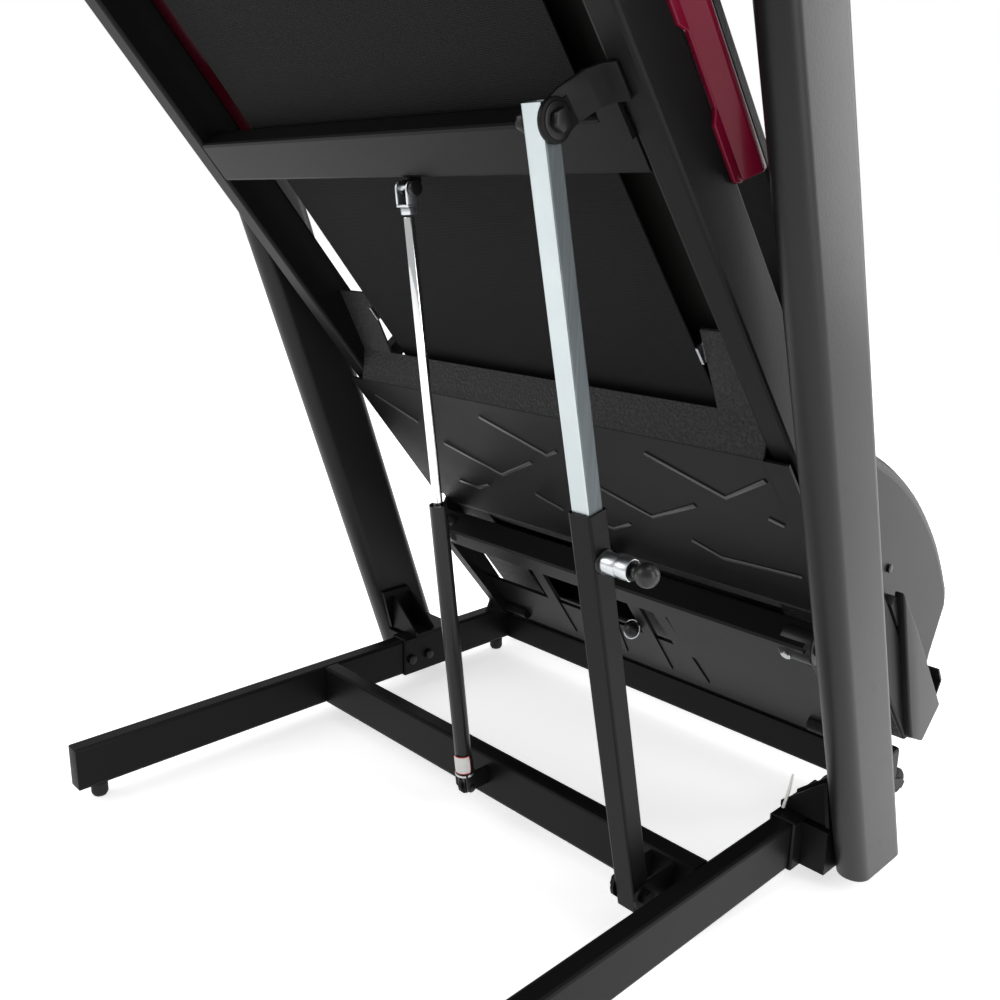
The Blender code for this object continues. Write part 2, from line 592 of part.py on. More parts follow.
# ---- motor bay ----------------------------------------------------------------------
def make_belly_pan():
    """A tray under the front of the frame: a ramp behind, a flat floor, a ramp up in front."""
    floor = [(0.1975, 0.0220), (0.1725, -0.0015), (0.1650, -0.0100), (-0.1130, -0.0100), (-0.1650, 0.0100)]
    inside = [(-0.1640, 0.0135), (-0.1120, -0.0070), (0.1640, -0.0070), (0.1705, 0.0005), (0.1955, 0.0245)]
    pan = meshed_with(deck_outline("belly_pan", [floor + inside], 2 * (DECK_HALF_INNER - 0.0006), 0, BLACK_PLASTIC),
                      BLACK_PLASTIC)
    join(pan, deck_box("pan_flange", (2 * 0.373, 0.262, 0.0032), 0, 0.033, -0.0083, BLACK_PLASTIC, group=cutters))
    for side, sign in SIDES:
        arm = deck_outline("pan_arm_" + side, [[(0.1850, 0.0100), (0.1975, 0.0220), (0.2900, 0.0430), (0.2900, 0.0460),
                                                (0.1950, 0.0245), (0.1830, 0.0130)]], 0.0630, sign * 0.3117,
                           BLACK_PLASTIC, cutters)
        join(pan, meshed(arm))
        nose = deck_outline("pan_nose_" + side, [[(-0.1240, -0.0036), (-0.3850, -0.0036), (-0.3850, -0.0006),
                                                  (-0.1240, -0.0006)]], 0.0754, sign * 0.3057,
                            BLACK_PLASTIC, cutters)
        join(pan, meshed(nose))
        join(pan, deck_box("pan_nose_edge_" + side, (0.034, 0.215, 0.0030), sign * 0.3550, -0.2775, -0.0021,
                           BLACK_PLASTIC, group=cutters))
    cut(pan, deck_box("crank_slot", (0.024, 0.100, 0.060), 0, -0.125, 0.0, BLACK_PLASTIC, group=cutters))


def make_fascia():
    """The nose under the hood, across the front of the frame."""
    outer = [(-0.3868, 0.1120), (-0.4110, 0.1095), (-0.4230, 0.0790), (-0.4280, 0.0190), (-0.4010, 0.0052)]
    inner = [(-0.4010, 0.0086), (-0.4250, 0.0208), (-0.4200, 0.0780), (-0.4090, 0.1062), (-0.3868, 0.1090)]
    deck_outline("front_fascia", [outer + inner], 2 * 0.376, 0, BLACK_PLASTIC)
    deck_box("mains_inlet", (0.030, 0.010, 0.022), 0.250, -0.4325, 0.048, BLACK_PLASTIC, 0.002)


def make_hood():
    """A domed cover over the motor bay, open underneath and behind."""
    half, wall, low = 0.362, 0.0035, DECK_TUBE_HEIGHT + 2 * GAP
    top = [(0.1200, 0.1000), (0.0200, 0.1450), (-0.0500, 0.1770), (-0.1300, 0.2015), (-0.2100, 0.2120),
           (-0.2700, 0.2110), (-0.3220, 0.2030), (-0.3350, 0.1975), (-0.3560, 0.1680), (-0.3850, 0.1140)]
    outer = top + [(-0.3800, low), (0.1200, low)]
    made = meshed_with(deck_outline("motor_hood", [outer], 2 * half, 0, BLACK_PLASTIC), BLACK_PLASTIC)
    inside = [(0.1600, 0.0500), (0.1600, 0.0780), (0.0180, 0.1418), (-0.0515, 0.1736), (-0.1307, 0.1980),
              (-0.2102, 0.2085), (-0.2697, 0.2075), (-0.3210, 0.1996), (-0.3325, 0.1948), (-0.3530, 0.1662),
              (-0.3812, 0.1134), (-0.3768, 0.0500)]
    hollow = meshed(deck_outline("hood_hollow", [inside], 2 * (half - wall), 0, BLACK_PLASTIC, cutters))
    cut(made, hollow)
    wing = [(-0.1670, 0.0830), (-0.3820, 0.0830), (-0.4227, 0.0790), (-0.4280, 0.0190), (-0.3930, 0.0025),
            (-0.3470, 0.0170)]
    for side, sign in SIDES:
        join(made, meshed(deck_outline("hood_wing_" + side, [wing], 0.0085, sign * 0.3808, BLACK_PLASTIC, cutters)))
        join(made, deck_box("hood_ledge_" + side, (0.025, 0.195, 0.0160), sign * 0.3710, -0.2780, 0.0745,
                            BLACK_PLASTIC, group=cutters))


MOTOR_ALONG, MOTOR_HEIGHT, MOTOR_X = -0.085, 0.100, 0.137
DRIVE_BELT_X = 0.303


def make_drive():
    """A motor across the bay on its mount, its flywheel and pulley, and the belt to the front roller."""
    motor = turned("drive_motor", [(0.0, 0.085), (0.030, 0.085), (0.048, 0.070), (0.048, -0.070), (0.030, -0.085),
                                   (0.0, -0.085)], on_deck(MOTOR_X, MOTOR_ALONG, MOTOR_HEIGHT), deck, CAST, sides=24)
    join(motor, deck_box("motor_mount", (0.130, 0.050, 0.080), MOTOR_X, MOTOR_ALONG, 0.0336, CAST, group=cutters))
    turned("flywheel", [(0.0, 0.115), (0.0145, 0.115), (0.0145, 0.0915), (0.0125, 0.0890), (0.0125, 0.0690),
                        (0.0145, 0.0665), (0.0145, 0.056), (0.055, 0.054), (0.058, 0.050), (0.058, 0.022),
                        (0.055, 0.018), (0.012, 0.016), (0.012, 0.0), (0.0, 0.0)],
           on_deck(DRIVE_BELT_X - 0.079, MOTOR_ALONG, MOTOR_HEIGHT), deck, CAST, sides=24)
    centre_a, centre_b = (FRONT_ROLLER, ROLLER_HEIGHT), (MOTOR_ALONG, MOTOR_HEIGHT)
    outer = tangent_loop(centre_a, 0.0372, centre_b, 0.0160)
    inner = tangent_loop(centre_a, 0.0344, centre_b, 0.0132)
    deck_outline("drive_belt", [outer, inner], 0.015, DRIVE_BELT_X, RUBBER)


def tangent_loop(centre_a, radius_a, centre_b, radius_b):
    """The outline of an open belt round two pulleys."""
    run = Vector(centre_a) - Vector(centre_b)
    heading = math.degrees(math.atan2(run.y, run.x))
    wrap = math.degrees(math.acos((radius_b - radius_a) / run.length))
    return (arc(centre_a, radius_a, heading - wrap, heading + wrap, 10)
            + arc(centre_b, radius_b, heading + wrap, heading + 360 - wrap, 10))


def make_electrics():
    tip_height = CRANK_TIP[1]
    deck_box("motor_controller", (0.170, 0.120, 0.045), -0.200, -0.050, 0.0160, CAST, 0.004)
    body = deck_box("incline_motor", (0.060, 0.1165, 0.052), 0.0, -0.3100, tip_height, CAST, 0.004)
    cut(body, rod("incline_bore", 0.0092, 0.166, on_deck(0.0, -0.2750, tip_height), deck, CAST, "Y", sides=16,
                  group=cutters))
    shaft = rod("incline_rod", 0.0088, 0.2130, on_deck(0.0, -0.2235, tip_height), deck, ZINC, "Y", sides=16)
    cut(shaft, deck_box("incline_fork", (0.0108, 0.045, 0.030), 0.0, -0.1275, tip_height, ZINC, group=cutters))


def make_lift_frame():
    """Arms, a square beam on the lift hinge, braces, a round lower bar and the crank for the incline rod."""
    beam = deck_box("lift_frame", (2 * 0.3385, LIFT_BEAM, LIFT_BEAM), 0, LIFT_ALONG, LIFT_HEIGHT, SATIN_BLACK, 0.003)
    fold = Matrix.Rotation(DECK_ANGLE, 3, "X") @ (FOLD_AXIS - DECK_ORIGIN)
    end_along, end_height = -fold.y, fold.z
    half = LIFT_BEAM / 2 - 0.0005
    for side, sign in SIDES:
        arm = [arc((end_along, end_height), 0.0150, 90, 270, 8)
               + [(LIFT_ALONG - 0.004, LIFT_HEIGHT - half), (LIFT_ALONG - 0.004, LIFT_HEIGHT + half)]]
        join(beam, meshed(deck_outline("lift_arm_" + side, arm, 0.0195, sign * 0.3302, SATIN_BLACK, cutters)))
        join(beam, rod("lift_boss_" + side, 0.011, 0.050, on_deck(sign * 0.2970, end_along, end_height), deck, SATIN_BLACK,
                       sides=16, group=cutters))
        join(beam, rod("lift_hinge_pin_" + side, 0.0080, 0.018, on_deck(sign * 0.3435, LIFT_ALONG, LIFT_HEIGHT), deck,
                       SATIN_BLACK, sides=16, group=cutters))
    join(beam, deck_box("lift_lower_plate", (2 * 0.3220, 0.1120, 0.0050), 0, end_along + 0.0285, end_height + 0.0030,
                        SATIN_BLACK, group=cutters))
    span = LIFT_ALONG - end_along
    for i, (x, slant) in enumerate(((-0.159, 0.022), (-0.036, 0.050), (0.034, 0.014), (0.088, -0.014))):
        brace = deck_box(f"lift_brace_{i}", (0.022, span, 0.006), x, LIFT_ALONG - span / 2, LIFT_HEIGHT - 0.002,
                         SATIN_BLACK, group=cutters)
        brace.rotation_euler = (0, 0, math.atan2(slant, span))
        join(beam, brace)
    join(beam, deck_box("lift_plate", (0.222, 0.130, 0.005), 0.2100, LIFT_ALONG - 0.079, LIFT_HEIGHT - 0.0032,
                        SATIN_BLACK, group=cutters))
    tip_along, tip_height = CRANK_TIP
    crank = [(LIFT_ALONG - 0.014, LIFT_HEIGHT), (LIFT_ALONG + 0.012, LIFT_HEIGHT), (tip_along + 0.009, tip_height - 0.004),
             (tip_along + 0.004, tip_height + 0.008), (tip_along - 0.007, tip_height + 0.007),
             (tip_along - 0.009, tip_height - 0.006)]
    join(beam, meshed(deck_outline("lift_crank", [crank], 0.0100, 0, SATIN_BLACK, cutters)))


# ---- links --------------------------------------------------------------------------
def make_strut():
    """A gas spring: a black body with a forked lower end, and a chrome rod with a forked top."""
    start, top, radius = 0.030, STRUT_BODY_LENGTH, STRUT_BODY_RADIUS
    body = rod("strut_cylinder", radius, top - start, (0, 0, (top + start) / 2), strut, SATIN_BLACK, "Z", 20)
    fork(body, "strut_low_fork", strut, 0.0, 1)
    cut(body, rod("strut_bore", 0.0066, top - 0.040 + 0.010, (0, 0, (top + 0.040 + 0.010) / 2), strut, CHROME, "Z", 16,
                  cutters))
    inner, outer = 0.352, strut_length - 0.020
    shaft = rod("strut_rod", STRUT_ROD_RADIUS, outer - inner, (0, 0, (outer + inner) / 2), strut, CHROME, "Z", 16)
    join(shaft, rod("strut_piston", 0.0060, 0.016, (0, 0, inner), strut, CHROME, "Z", 16, cutters))
    fork(shaft, "strut_top_fork", strut, strut_length, -1)


def fork(made, name, parent, at, sign):
    """Two cheeks either side of a lug, their bridge and the pin."""
    for side, x in (("left", -0.0052), ("right", 0.0052)):
        loop = arc((0, at), 0.0078, 180 if sign > 0 else 0, 360 if sign > 0 else 180, 6)
        loop += [(0.0078, at + sign * 0.020), (-0.0078, at + sign * 0.020)] if sign > 0 else [
            (-0.0078, at - 0.020), (0.0078, at - 0.020)]
        join(made, meshed(outline(name + "_cheek_" + side, [loop], 0.0040, (x, 0, 0), parent, ZINC, SIDE, cutters)))
    join(made, box(name + "_bridge", (0.0140, 0.0150, 0.0200), (0, 0, at + sign * 0.0230), parent, ZINC,
                   group=cutters))
    join(made, rod(name + "_pin", 0.0038, 0.024, (0, 0, at), parent, ZINC, "X", 12, cutters))


def make_lock():
    """A telescopic lock: a black outer tube, a zinc inner tube, the top bolt and the spring plunger."""
    wall = 0.0016
    outer_low = -0.018
    length = LOCK_OUTER_LENGTH - outer_low
    outer = meshed_with(tube("lock_outer_tube", LOCK_OUTER[0], LOCK_OUTER[1], length,
                             (0, 0, outer_low + length / 2), lock, SATIN_BLACK, (0, 0, 0), 0.0025, wall), SATIN_BLACK)
    bolt = rod("lock_pivot_bolt", 0.0050, 0.046, (0, 0, 0), lock, SATIN_BLACK, "X", 12, cutters)
    heads = [rod(f"lock_pivot_head_{i}", 0.0090, 0.0060, (x, 0, 0), lock, SATIN_BLACK, "X", 6, cutters)
             for i, x in enumerate((-0.0215, 0.0215))]
    boss = rod("plunger_boss", 0.0100, 0.036, (0.0305, 0, PLUNGER_Z), lock, ZINC, "X", 16, cutters)
    bore = rod("plunger_bore", 0.0048, 0.060, (0.0350, 0, PLUNGER_Z), lock, ZINC, "X", 12, cutters)
    join(outer, bolt, *heads, boss)
    cut(outer, bore)
    inner_low = 0.405
    inner_high = lock_length + 0.0150
    inner = meshed_with(tube("lock_inner_tube", LOCK_INNER[0], LOCK_INNER[1], inner_high - inner_low,
                             (0, 0, (inner_low + inner_high) / 2), lock, ZINC, (0, 0, 0), 0.0020, 0.0015), ZINC)
    top_bolt = rod("lock_top_bolt", 0.0045, 0.040, (0.0040, 0, lock_length), lock, SATIN_BLACK, "X", 12)
    head = rod("lock_top_head", 0.0090, 0.0055, (0.0212, 0, lock_length), lock, SATIN_BLACK, "X", 6, group=cutters)
    nut = rod("lock_top_nut", 0.0075, 0.0060, (-0.0145, 0, lock_length), lock, SATIN_BLACK, "X", 6, group=cutters)
    join(top_bolt, head, nut)
    hole = rod("lock_top_hole", 0.0049, 0.060, (0, 0, lock_length), lock, ZINC, "X", 12, cutters)
    cut(inner, hole)
    knob = ball("lock_knob", 0.0115, (0.0640, 0, PLUNGER_Z), lock, BLACK_PLASTIC)
    join(knob, rod("lock_knob_stem", 0.0042, 0.047, (0.0365, 0, PLUNGER_Z), lock, ZINC, "X", 12, cutters))


# ---- console ------------------------------------------------------------------------
def make_console():
    bar_z = 1.060
    tube("console_bar", 0.040, 0.060, 2 * (UPRIGHT_X - UPRIGHT_WIDTH / 2 - GAP), (0, upright_y(bar_z), bar_z), base,
         SATIN_BLACK, ALONG_X)
    width = 2 * (UPRIGHT_X - UPRIGHT_WIDTH / 2 - GAP)
    shell = box("console_shell", (width, 0.260, 0.056), (0, 0, 0), console, BLACK_PLASTIC, 0.014, segments=2)
    recess = box("console_recess", (0.720, 0.200, 0.016), (0, 0.010, 0.028), console, BLACK_PLASTIC, group=cutters)
    cut(shell, recess)
    panel = box("console_panel", (0.7190, 0.1990, 0.0080), (0, 0.010, 0.0243), console, GLASS, 0.0015)
    buttons = (("start_button", -0.070, GREEN, 0.017), ("stop_button", 0.070, RED, 0.017),
               ("speed_up_button", 0.210, SATIN_BLACK, 0.013), ("speed_down_button", -0.210, SATIN_BLACK, 0.013))
    for name, x, colour, radius in buttons:
        hole = rod(name + "_hole", radius + 0.0008, 0.06, (x, -0.058, 0.030), console, GLASS, "Z", 20, cutters)
        well = rod(name + "_well", radius + 0.0008, 0.012, (x, -0.058, 0.0180), console, GLASS, "Z", 20, cutters)
        cut(panel, hole)
        cut(shell, well)
        rod(name, radius, 0.013, (x, -0.058, 0.0245), console, colour, "Z", 20, edge=0.0015)
    key_hole = box("key_hole", (0.0216, 0.0076, 0.06), (0, -0.062, 0.030), console, GLASS, group=cutters)
    key_well = box("key_well", (0.0216, 0.0076, 0.024), (0, -0.062, 0.012), console, GLASS, group=cutters)
    cut(panel, key_hole)
    cut(shell, key_well)
    key = box("safety_key", (0.034, 0.018, 0.010), (0, -0.062, 0.0345), console, RED, 0.002)
    blade = box("safety_key_blade", (0.020, 0.006, 0.030), (0, -0.062, 0.0180), console, RED, group=cutters)
    join(key, blade)


def make_handrails():
    for side, sign in SIDES:
        rail = bpy.data.curves.new("handrail_" + side, "CURVE")
        rail.dimensions = "3D"
        rail.bevel_depth = 0.016
        rail.bevel_resolution = 2
        rail.use_fill_caps = True
        start = Vector((0, upright_y(1.020) - UPRIGHT_DEPTH / 2 - 0.008, 1.020))
        route = [start, start + Vector((0, -0.060, 0.004)), start + Vector((0, -0.120, 0.002)),
                 start + Vector((0, -0.300, -0.020)), start + Vector((0, -0.400, -0.034))]
        run = rail.splines.new("POLY")
        run.points.add(len(route) - 1)
        for point, place in zip(run.points, route):
            point.co = (*place, 1.0)
        finish("handrail_" + side, rail, base, (sign * UPRIGHT_X, 0, 0), (0, 0, 0), SATIN_BLACK)


def make_loom():
    """The wires from the right-hand upright's foot, over its bracket and forwards along the rail."""
    loom = bpy.data.curves.new("wire_loom", "CURVE")
    loom.dimensions = "3D"
    loom.bevel_depth = 0.0022
    loom.bevel_resolution = 2
    loom.use_fill_caps = True
    route = [(0.402, 0.650, 0.122), (0.399, 0.642, 0.110), (0.392, 0.634, 0.0975), (0.382, 0.628, 0.0905),
             (0.366, 0.626, 0.0893), (0.356, 0.634, 0.0891), (0.353, 0.655, 0.0885), (0.353, 0.690, 0.0850),
             (0.354, 0.715, 0.0838)]
    run = loom.splines.new("POLY")
    run.points.add(len(route) - 1)
    for point, place in zip(run.points, route):
        point.co = (*place, 1.0)
    finish("wire_loom", loom, base, (0, 0, 0), (0, 0, 0), RUBBER)


make_floor_frame()
make_feet()
make_uprights()
make_deck_frame()
make_belt()
make_rollers()
make_board()
make_foot_rails()
make_rear_ends()
make_belly_pan()
make_fascia()
make_hood()
make_drive()
make_electrics()
make_lift_frame()
make_strut()
make_lock()
make_console()
make_handrails()
make_loom()
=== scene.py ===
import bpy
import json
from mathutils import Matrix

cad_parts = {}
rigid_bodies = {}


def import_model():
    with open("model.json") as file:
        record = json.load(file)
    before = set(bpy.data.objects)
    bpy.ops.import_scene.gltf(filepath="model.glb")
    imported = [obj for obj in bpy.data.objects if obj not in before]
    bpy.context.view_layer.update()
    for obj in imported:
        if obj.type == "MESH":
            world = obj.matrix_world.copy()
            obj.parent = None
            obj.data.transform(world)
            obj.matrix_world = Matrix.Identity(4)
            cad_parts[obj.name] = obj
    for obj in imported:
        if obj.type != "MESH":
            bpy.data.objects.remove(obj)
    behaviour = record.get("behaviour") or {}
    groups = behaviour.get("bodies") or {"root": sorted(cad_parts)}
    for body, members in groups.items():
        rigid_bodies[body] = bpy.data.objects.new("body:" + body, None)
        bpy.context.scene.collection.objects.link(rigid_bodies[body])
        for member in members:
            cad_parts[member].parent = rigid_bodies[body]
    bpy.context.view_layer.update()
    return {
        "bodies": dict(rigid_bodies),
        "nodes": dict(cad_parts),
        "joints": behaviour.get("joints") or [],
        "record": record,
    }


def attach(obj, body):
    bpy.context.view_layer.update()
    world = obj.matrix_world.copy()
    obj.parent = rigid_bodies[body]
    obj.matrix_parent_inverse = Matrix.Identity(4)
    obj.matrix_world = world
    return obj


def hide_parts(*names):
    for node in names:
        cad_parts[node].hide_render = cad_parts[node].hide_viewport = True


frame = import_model()

import json
import math

import bpy
from mathutils import Matrix, Vector

nodes = frame["nodes"]
print("frame loaded")

middleY = 0.3226  # how far the frame's zero lies in front of the rails' rear ends
deckTilt = math.radians(-51.45)
deckOrigin = Vector((0, 0.577 - middleY, 0.400))
deckTurn = Matrix.Rotation(deckTilt, 4, "X")
consoleTurn = Matrix.Rotation(math.radians(40), 4, "X")
consoleOrigin = Vector((0, 0.300 - middleY, 1.200))


def onDeck(x, along, height):
    return deckOrigin + deckTurn.to_3x3() @ Vector((x, -along, height))


def onFloor(x, y, z):
    return Vector((x, y - middleY, z))


def linkPlace(low, high):
    run = high - low
    turn = Matrix.Rotation(-math.atan2(run.y, run.z), 4, "X")
    return Matrix.Translation(low) @ turn, run.length


strutPlace, strutLength = linkPlace(onFloor(0.020, 0.3505, 0.0552), onDeck(0.020, 0.5008, -0.0057))
lockPlace, lockLength = linkPlace(onFloor(0.306, 0.3365, 0.0575), onDeck(0.306, 0.596, -0.050))
uprightLean = math.radians(18.55)

shot = {
    "lens": 37.717,
    "place": (0.91255, -0.4560 - middleY, 0.76761),
    "turn": (1.3007340, -0.0144309, 0.8083332),
}


def makeCamera():
    bpy.ops.object.camera_add(location=shot["place"], rotation=shot["turn"])
    camera = bpy.context.object
    camera.data.lens = shot["lens"]
    camera.data.sensor_width = 36
    camera.data.clip_start = 0.02
    camera.data.clip_end = 60
    bpy.context.scene.camera = camera


softboxes = (
    # name, place, aimed at, size, watts
    ("keyLight", (-2.6, -3.4, 2.6), (0, 0, 0.6), (2.6, 2.6), 60),
    ("rightLight", (3.6, 0.4, 1.6), (0.3, 0.2, 0.6), (1.2, 3.0), 48),
    ("topLight", (0.2, 0.4, 4.2), (0, 0.1, 0.5), (3.2, 3.2), 90),
    ("frontLight", (2.0, 3.8, 1.6), (0.1, 0.4, 0.5), (2.2, 2.4), 80),
)


fillShare = 0.55  # how bright the room is on the object, against 1 for the camera
floorGlow = 0.60


def makeLights():
    for name, place, aim, size, watts in softboxes:
        bpy.ops.object.light_add(type="AREA", location=place)
        light = bpy.context.object
        light.name = name
        light.data.shape = "RECTANGLE"
        light.data.size, light.data.size_y = size
        light.data.energy = watts
        light.rotation_euler = (Vector(aim) - Vector(place)).to_track_quat("-Z", "Y").to_euler()
    world = bpy.data.worlds.new("paleStudio")
    bpy.context.scene.world = world
    world.use_nodes = True
    back = world.node_tree.nodes["Background"]
    back.inputs["Color"].default_value = (1, 1, 1, 1)
    path = world.node_tree.nodes.new("ShaderNodeLightPath")
    share = world.node_tree.nodes.new("ShaderNodeMapRange")
    share.inputs["To Min"].default_value = fillShare
    world.node_tree.links.new(path.outputs["Is Camera Ray"], share.inputs["Value"])
    world.node_tree.links.new(share.outputs["Result"], back.inputs["Strength"])
    bpy.context.scene.view_settings.view_transform = "Standard"


class Socket:
    def __init__(self, finish, output):
        self.finish, self.output = finish, output

    def combine(self, operation, first, second):
        return self.finish.node("ShaderNodeMath", {"operation": operation}, {0: first, 1: second})

    def __add__(self, other):
        return self.combine("ADD", self, other)

    __radd__ = __add__

    def __sub__(self, other):
        return self.combine("SUBTRACT", self, other)

    def __rsub__(self, other):
        return self.combine("SUBTRACT", other, self)

    def __mul__(self, other):
        return self.combine("MULTIPLY", self, other)

    __rmul__ = __mul__

    def over(self, other):
        return self.combine("GREATER_THAN", self, other)


class Finish:
    def __init__(self, name, **constants):
        self.material = bpy.data.materials.new(name)
        self.material.use_nodes = True
        self.tree = self.material.node_tree
        self.shader = self.tree.nodes["Principled BSDF"]
        for key, value in constants.items():
            self.feed(self.shader.inputs[key.replace("_", " ")], value)

    def feed(self, socket, value):
        if isinstance(value, Socket):
            self.tree.links.new(value.output, socket)
        else:
            socket.default_value = value

    def node(self, kind, settings=None, values=None, output=0):
        made = self.tree.nodes.new(kind)
        for key, value in (settings or {}).items():
            if key == "stops":
                ramp = made.color_ramp
                while len(ramp.elements) < len(value):
                    ramp.elements.new(0.5)
                for stop, (place, shade) in zip(ramp.elements, value):
                    stop.position = place
                    stop.color = (*shade, 1) if isinstance(shade, tuple) else (shade, shade, shade, 1)
            else:
                setattr(made, key, value)
        for key, value in (values or {}).items():
            self.feed(made.inputs[key], value)
        return Socket(self, made.outputs[output])

    def coords(self, tilt=0.0, stretch=(1, 1, 1)):
        here = self.node("ShaderNodeTexCoord", output="Object")
        if not tilt and stretch == (1, 1, 1):
            return here
        values = {"Vector": here, "Rotation": (tilt, 0, 0), "Scale": stretch}
        return self.node("ShaderNodeMapping", {}, values)

    def noise(self, place, scale, detail=2.0, rough=0.5):
        values = {"Vector": place, "Scale": scale, "Detail": detail, "Roughness": rough}
        return self.node("ShaderNodeTexNoise", {}, values, "Fac")

    def cells(self, place, scale, feature="F1"):
        values = {"Vector": place, "Scale": scale}
        return self.node("ShaderNodeTexVoronoi", {"feature": feature}, values, "Distance")

    def ramp(self, value, *stops):
        return self.node("ShaderNodeValToRGB", {"stops": stops}, {"Fac": value}, "Color")

    def blend(self, amount, first, second):
        return self.node("ShaderNodeMix", {"data_type": "RGBA"}, {0: amount, 6: first, 7: second}, 2)

    def colour(self, value):
        self.feed(self.shader.inputs["Base Color"], value)

    def roughness(self, value):
        self.feed(self.shader.inputs["Roughness"], value)

    def bump(self, height, strength, distance):
        values = {"Height": height, "Strength": strength, "Distance": distance}
        self.feed(self.shader.inputs["Normal"], self.node("ShaderNodeBump", {}, values, "Normal"))


def rgb(red, green, blue):
    return (red, green, blue, 1)


def powderCoat(name, shade, rough, shine=0.4, grain=1.0):
    coat = Finish(name, Specular_IOR_Level=shine)
    place = coat.coords()
    peel = coat.noise(place, 420, 2)
    speck = coat.noise(place, 1400, 1)
    broad = coat.noise(place, 5, 3)
    dust = coat.ramp(coat.noise(place, 38, 6, 0.7), (0.58, 0.0), (0.80, 1.0))
    coat.colour(coat.blend(broad * 0.5 + dust * 0.18, rgb(shade * 0.85, shade * 0.85, shade * 0.88),
                           rgb(shade * 1.6, shade * 1.6, shade * 1.62)))
    coat.roughness(rough - 0.05 + broad * 0.07 + dust * 0.06)
    coat.bump(peel * 0.7 + speck * 0.3, 0.22 * grain, 0.0006)
    return coat.material


def mouldedPlastic(name, shade, rough, shine=0.4, grain=1.0, size=900):
    plastic = Finish(name, Specular_IOR_Level=shine)
    place = plastic.coords()
    pits = plastic.cells(place, size)
    broad = plastic.noise(place, 7, 3)
    plastic.colour(plastic.blend(broad, rgb(shade * 0.8, shade * 0.8, shade * 0.82),
                                 rgb(shade * 1.3, shade * 1.3, shade * 1.3)))
    plastic.roughness(rough - 0.04 + broad * 0.08)
    plastic.bump(pits, 0.25 * grain, 0.0005)
    return plastic.material


panPebble = {"rear": 0.166, "front": 0.116}  # where the pan's pebbled ends start, from the deck's origin


def panPlastic(name):
    pan = Finish(name, Specular_IOR_Level=0.12)
    place = pan.coords(-deckTilt)
    split = pan.node("ShaderNodeSeparateXYZ", {}, {"Vector": place}, "Y")
    start = (Matrix.Rotation(-deckTilt, 3, "X") @ deckOrigin).y
    rear = (start - panPebble["rear"] - split).over(0.0)
    front = (split - (start + panPebble["front"])).over(0.0)
    pebbled = rear + front
    pebble = pan.cells(place, 330, "SMOOTH_F1")
    fine = pan.cells(place, 1100)
    scuff = pan.ramp(pan.noise(place, 14, 7, 0.65), (0.50, 0.0), (0.78, 1.0))
    streak = pan.noise(pan.coords(-deckTilt, (3, 26, 26)), 3.0, 4)
    pan.colour(pan.blend(pebbled * (0.35 + pebble * 0.9) + scuff * 0.22, rgb(0.0045, 0.0045, 0.0048),
                         rgb(0.027, 0.027, 0.028)))
    pan.roughness(0.36 + pebbled * 0.16 + scuff * 0.10 + streak * 0.05)
    pan.bump(pebble * pebbled + fine * (1 - pebbled) * 0.12, 0.9, 0.0016)
    return pan.material


def wovenBelt(name):
    belt = Finish(name, Specular_IOR_Level=0.08)
    place = belt.coords(-deckTilt)
    threads = []
    for way, scale, waver in (("X", 170, 0.6), ("Y", 150, 0.5)):
        values = {"Vector": place, "Scale": scale, "Distortion": waver, "Detail": 1, "Detail Scale": 4}
        settings = {"wave_type": "BANDS", "bands_direction": way}
        threads.append(belt.node("ShaderNodeTexWave", settings, values, "Fac"))
    weave = threads[0] * threads[1]
    broad = belt.noise(place, 9, 4)
    fuzz = belt.noise(place, 900, 2)
    belt.colour(belt.blend(weave * 0.75 + broad * 0.25, rgb(0.0030, 0.0030, 0.0032),
                           rgb(0.022, 0.022, 0.022)))
    belt.roughness(0.66 + broad * 0.14)
    belt.bump(weave + fuzz * 0.25, 0.55, 0.0011)
    return belt.material


neverPaintedShade = 9.0  # farther out than any piece, so no side gets the painted shade


def platedSteel(name, tint, rough, tilt, length=(1, 1, 0.02), spangle=0.5, paintedShadeFrom=neverPaintedShade):
    plate = Finish(name, Metallic=1.0)
    place = plate.coords(tilt, length)
    here = plate.coords()
    lines = plate.noise(place, 420, 3)
    patch = plate.noise(here, 26, 5, 0.6)
    spots = plate.ramp(plate.noise(here, 240, 4, 0.7), (0.60, 0.0), (0.74, 1.0))
    # painted shade: past the cut on X the colour blends to a dark grey, standing in for shade on that side of
    # the tube; the same mask also roughens it
    across = plate.node("ShaderNodeSeparateXYZ", {}, {"Vector": here}, "X")
    paintedShadeSide = across.over(paintedShadeFrom)
    red, green, blue = tint
    fresh = plate.blend(patch * spangle + spots * 0.25, rgb(*tint),
                        rgb(red * 0.72, green * 0.74, blue * 0.78))
    paintedShadeGrey = rgb(red * 0.16, green * 0.17, blue * 0.18)
    plate.colour(plate.blend(paintedShadeSide * (0.80 + lines * 0.20), fresh, paintedShadeGrey))
    plate.roughness(rough + lines * 0.10 + patch * 0.10 + paintedShadeSide * 0.15)
    plate.bump(lines, 0.10, 0.0004)
    return plate.material


def polishedChrome(name):
    chrome = Finish(name, Metallic=1.0)
    place = chrome.coords()
    wear = chrome.noise(place, 60, 4)
    chrome.colour(chrome.blend(wear * 0.2, rgb(0.80, 0.81, 0.82), rgb(0.55, 0.57, 0.59)))
    chrome.roughness(0.05 + wear * 0.05)
    chrome.bump(chrome.noise(place, 700, 2), 0.03, 0.0002)
    return chrome.material


def glossCrimson(name):
    gloss = Finish(name, Coat_Weight=0.12, Coat_Roughness=0.10, Specular_IOR_Level=0.12)
    place = gloss.coords()
    depth = gloss.noise(place, 11, 4)
    flake = gloss.noise(place, 700, 2)
    gloss.colour(gloss.blend(depth * 0.7 + flake * 0.15, rgb(0.085, 0.0012, 0.010), rgb(0.15, 0.003, 0.020)))
    gloss.roughness(0.22 + depth * 0.06)
    gloss.bump(gloss.noise(place, 120, 2), 0.05, 0.0006)
    return gloss.material


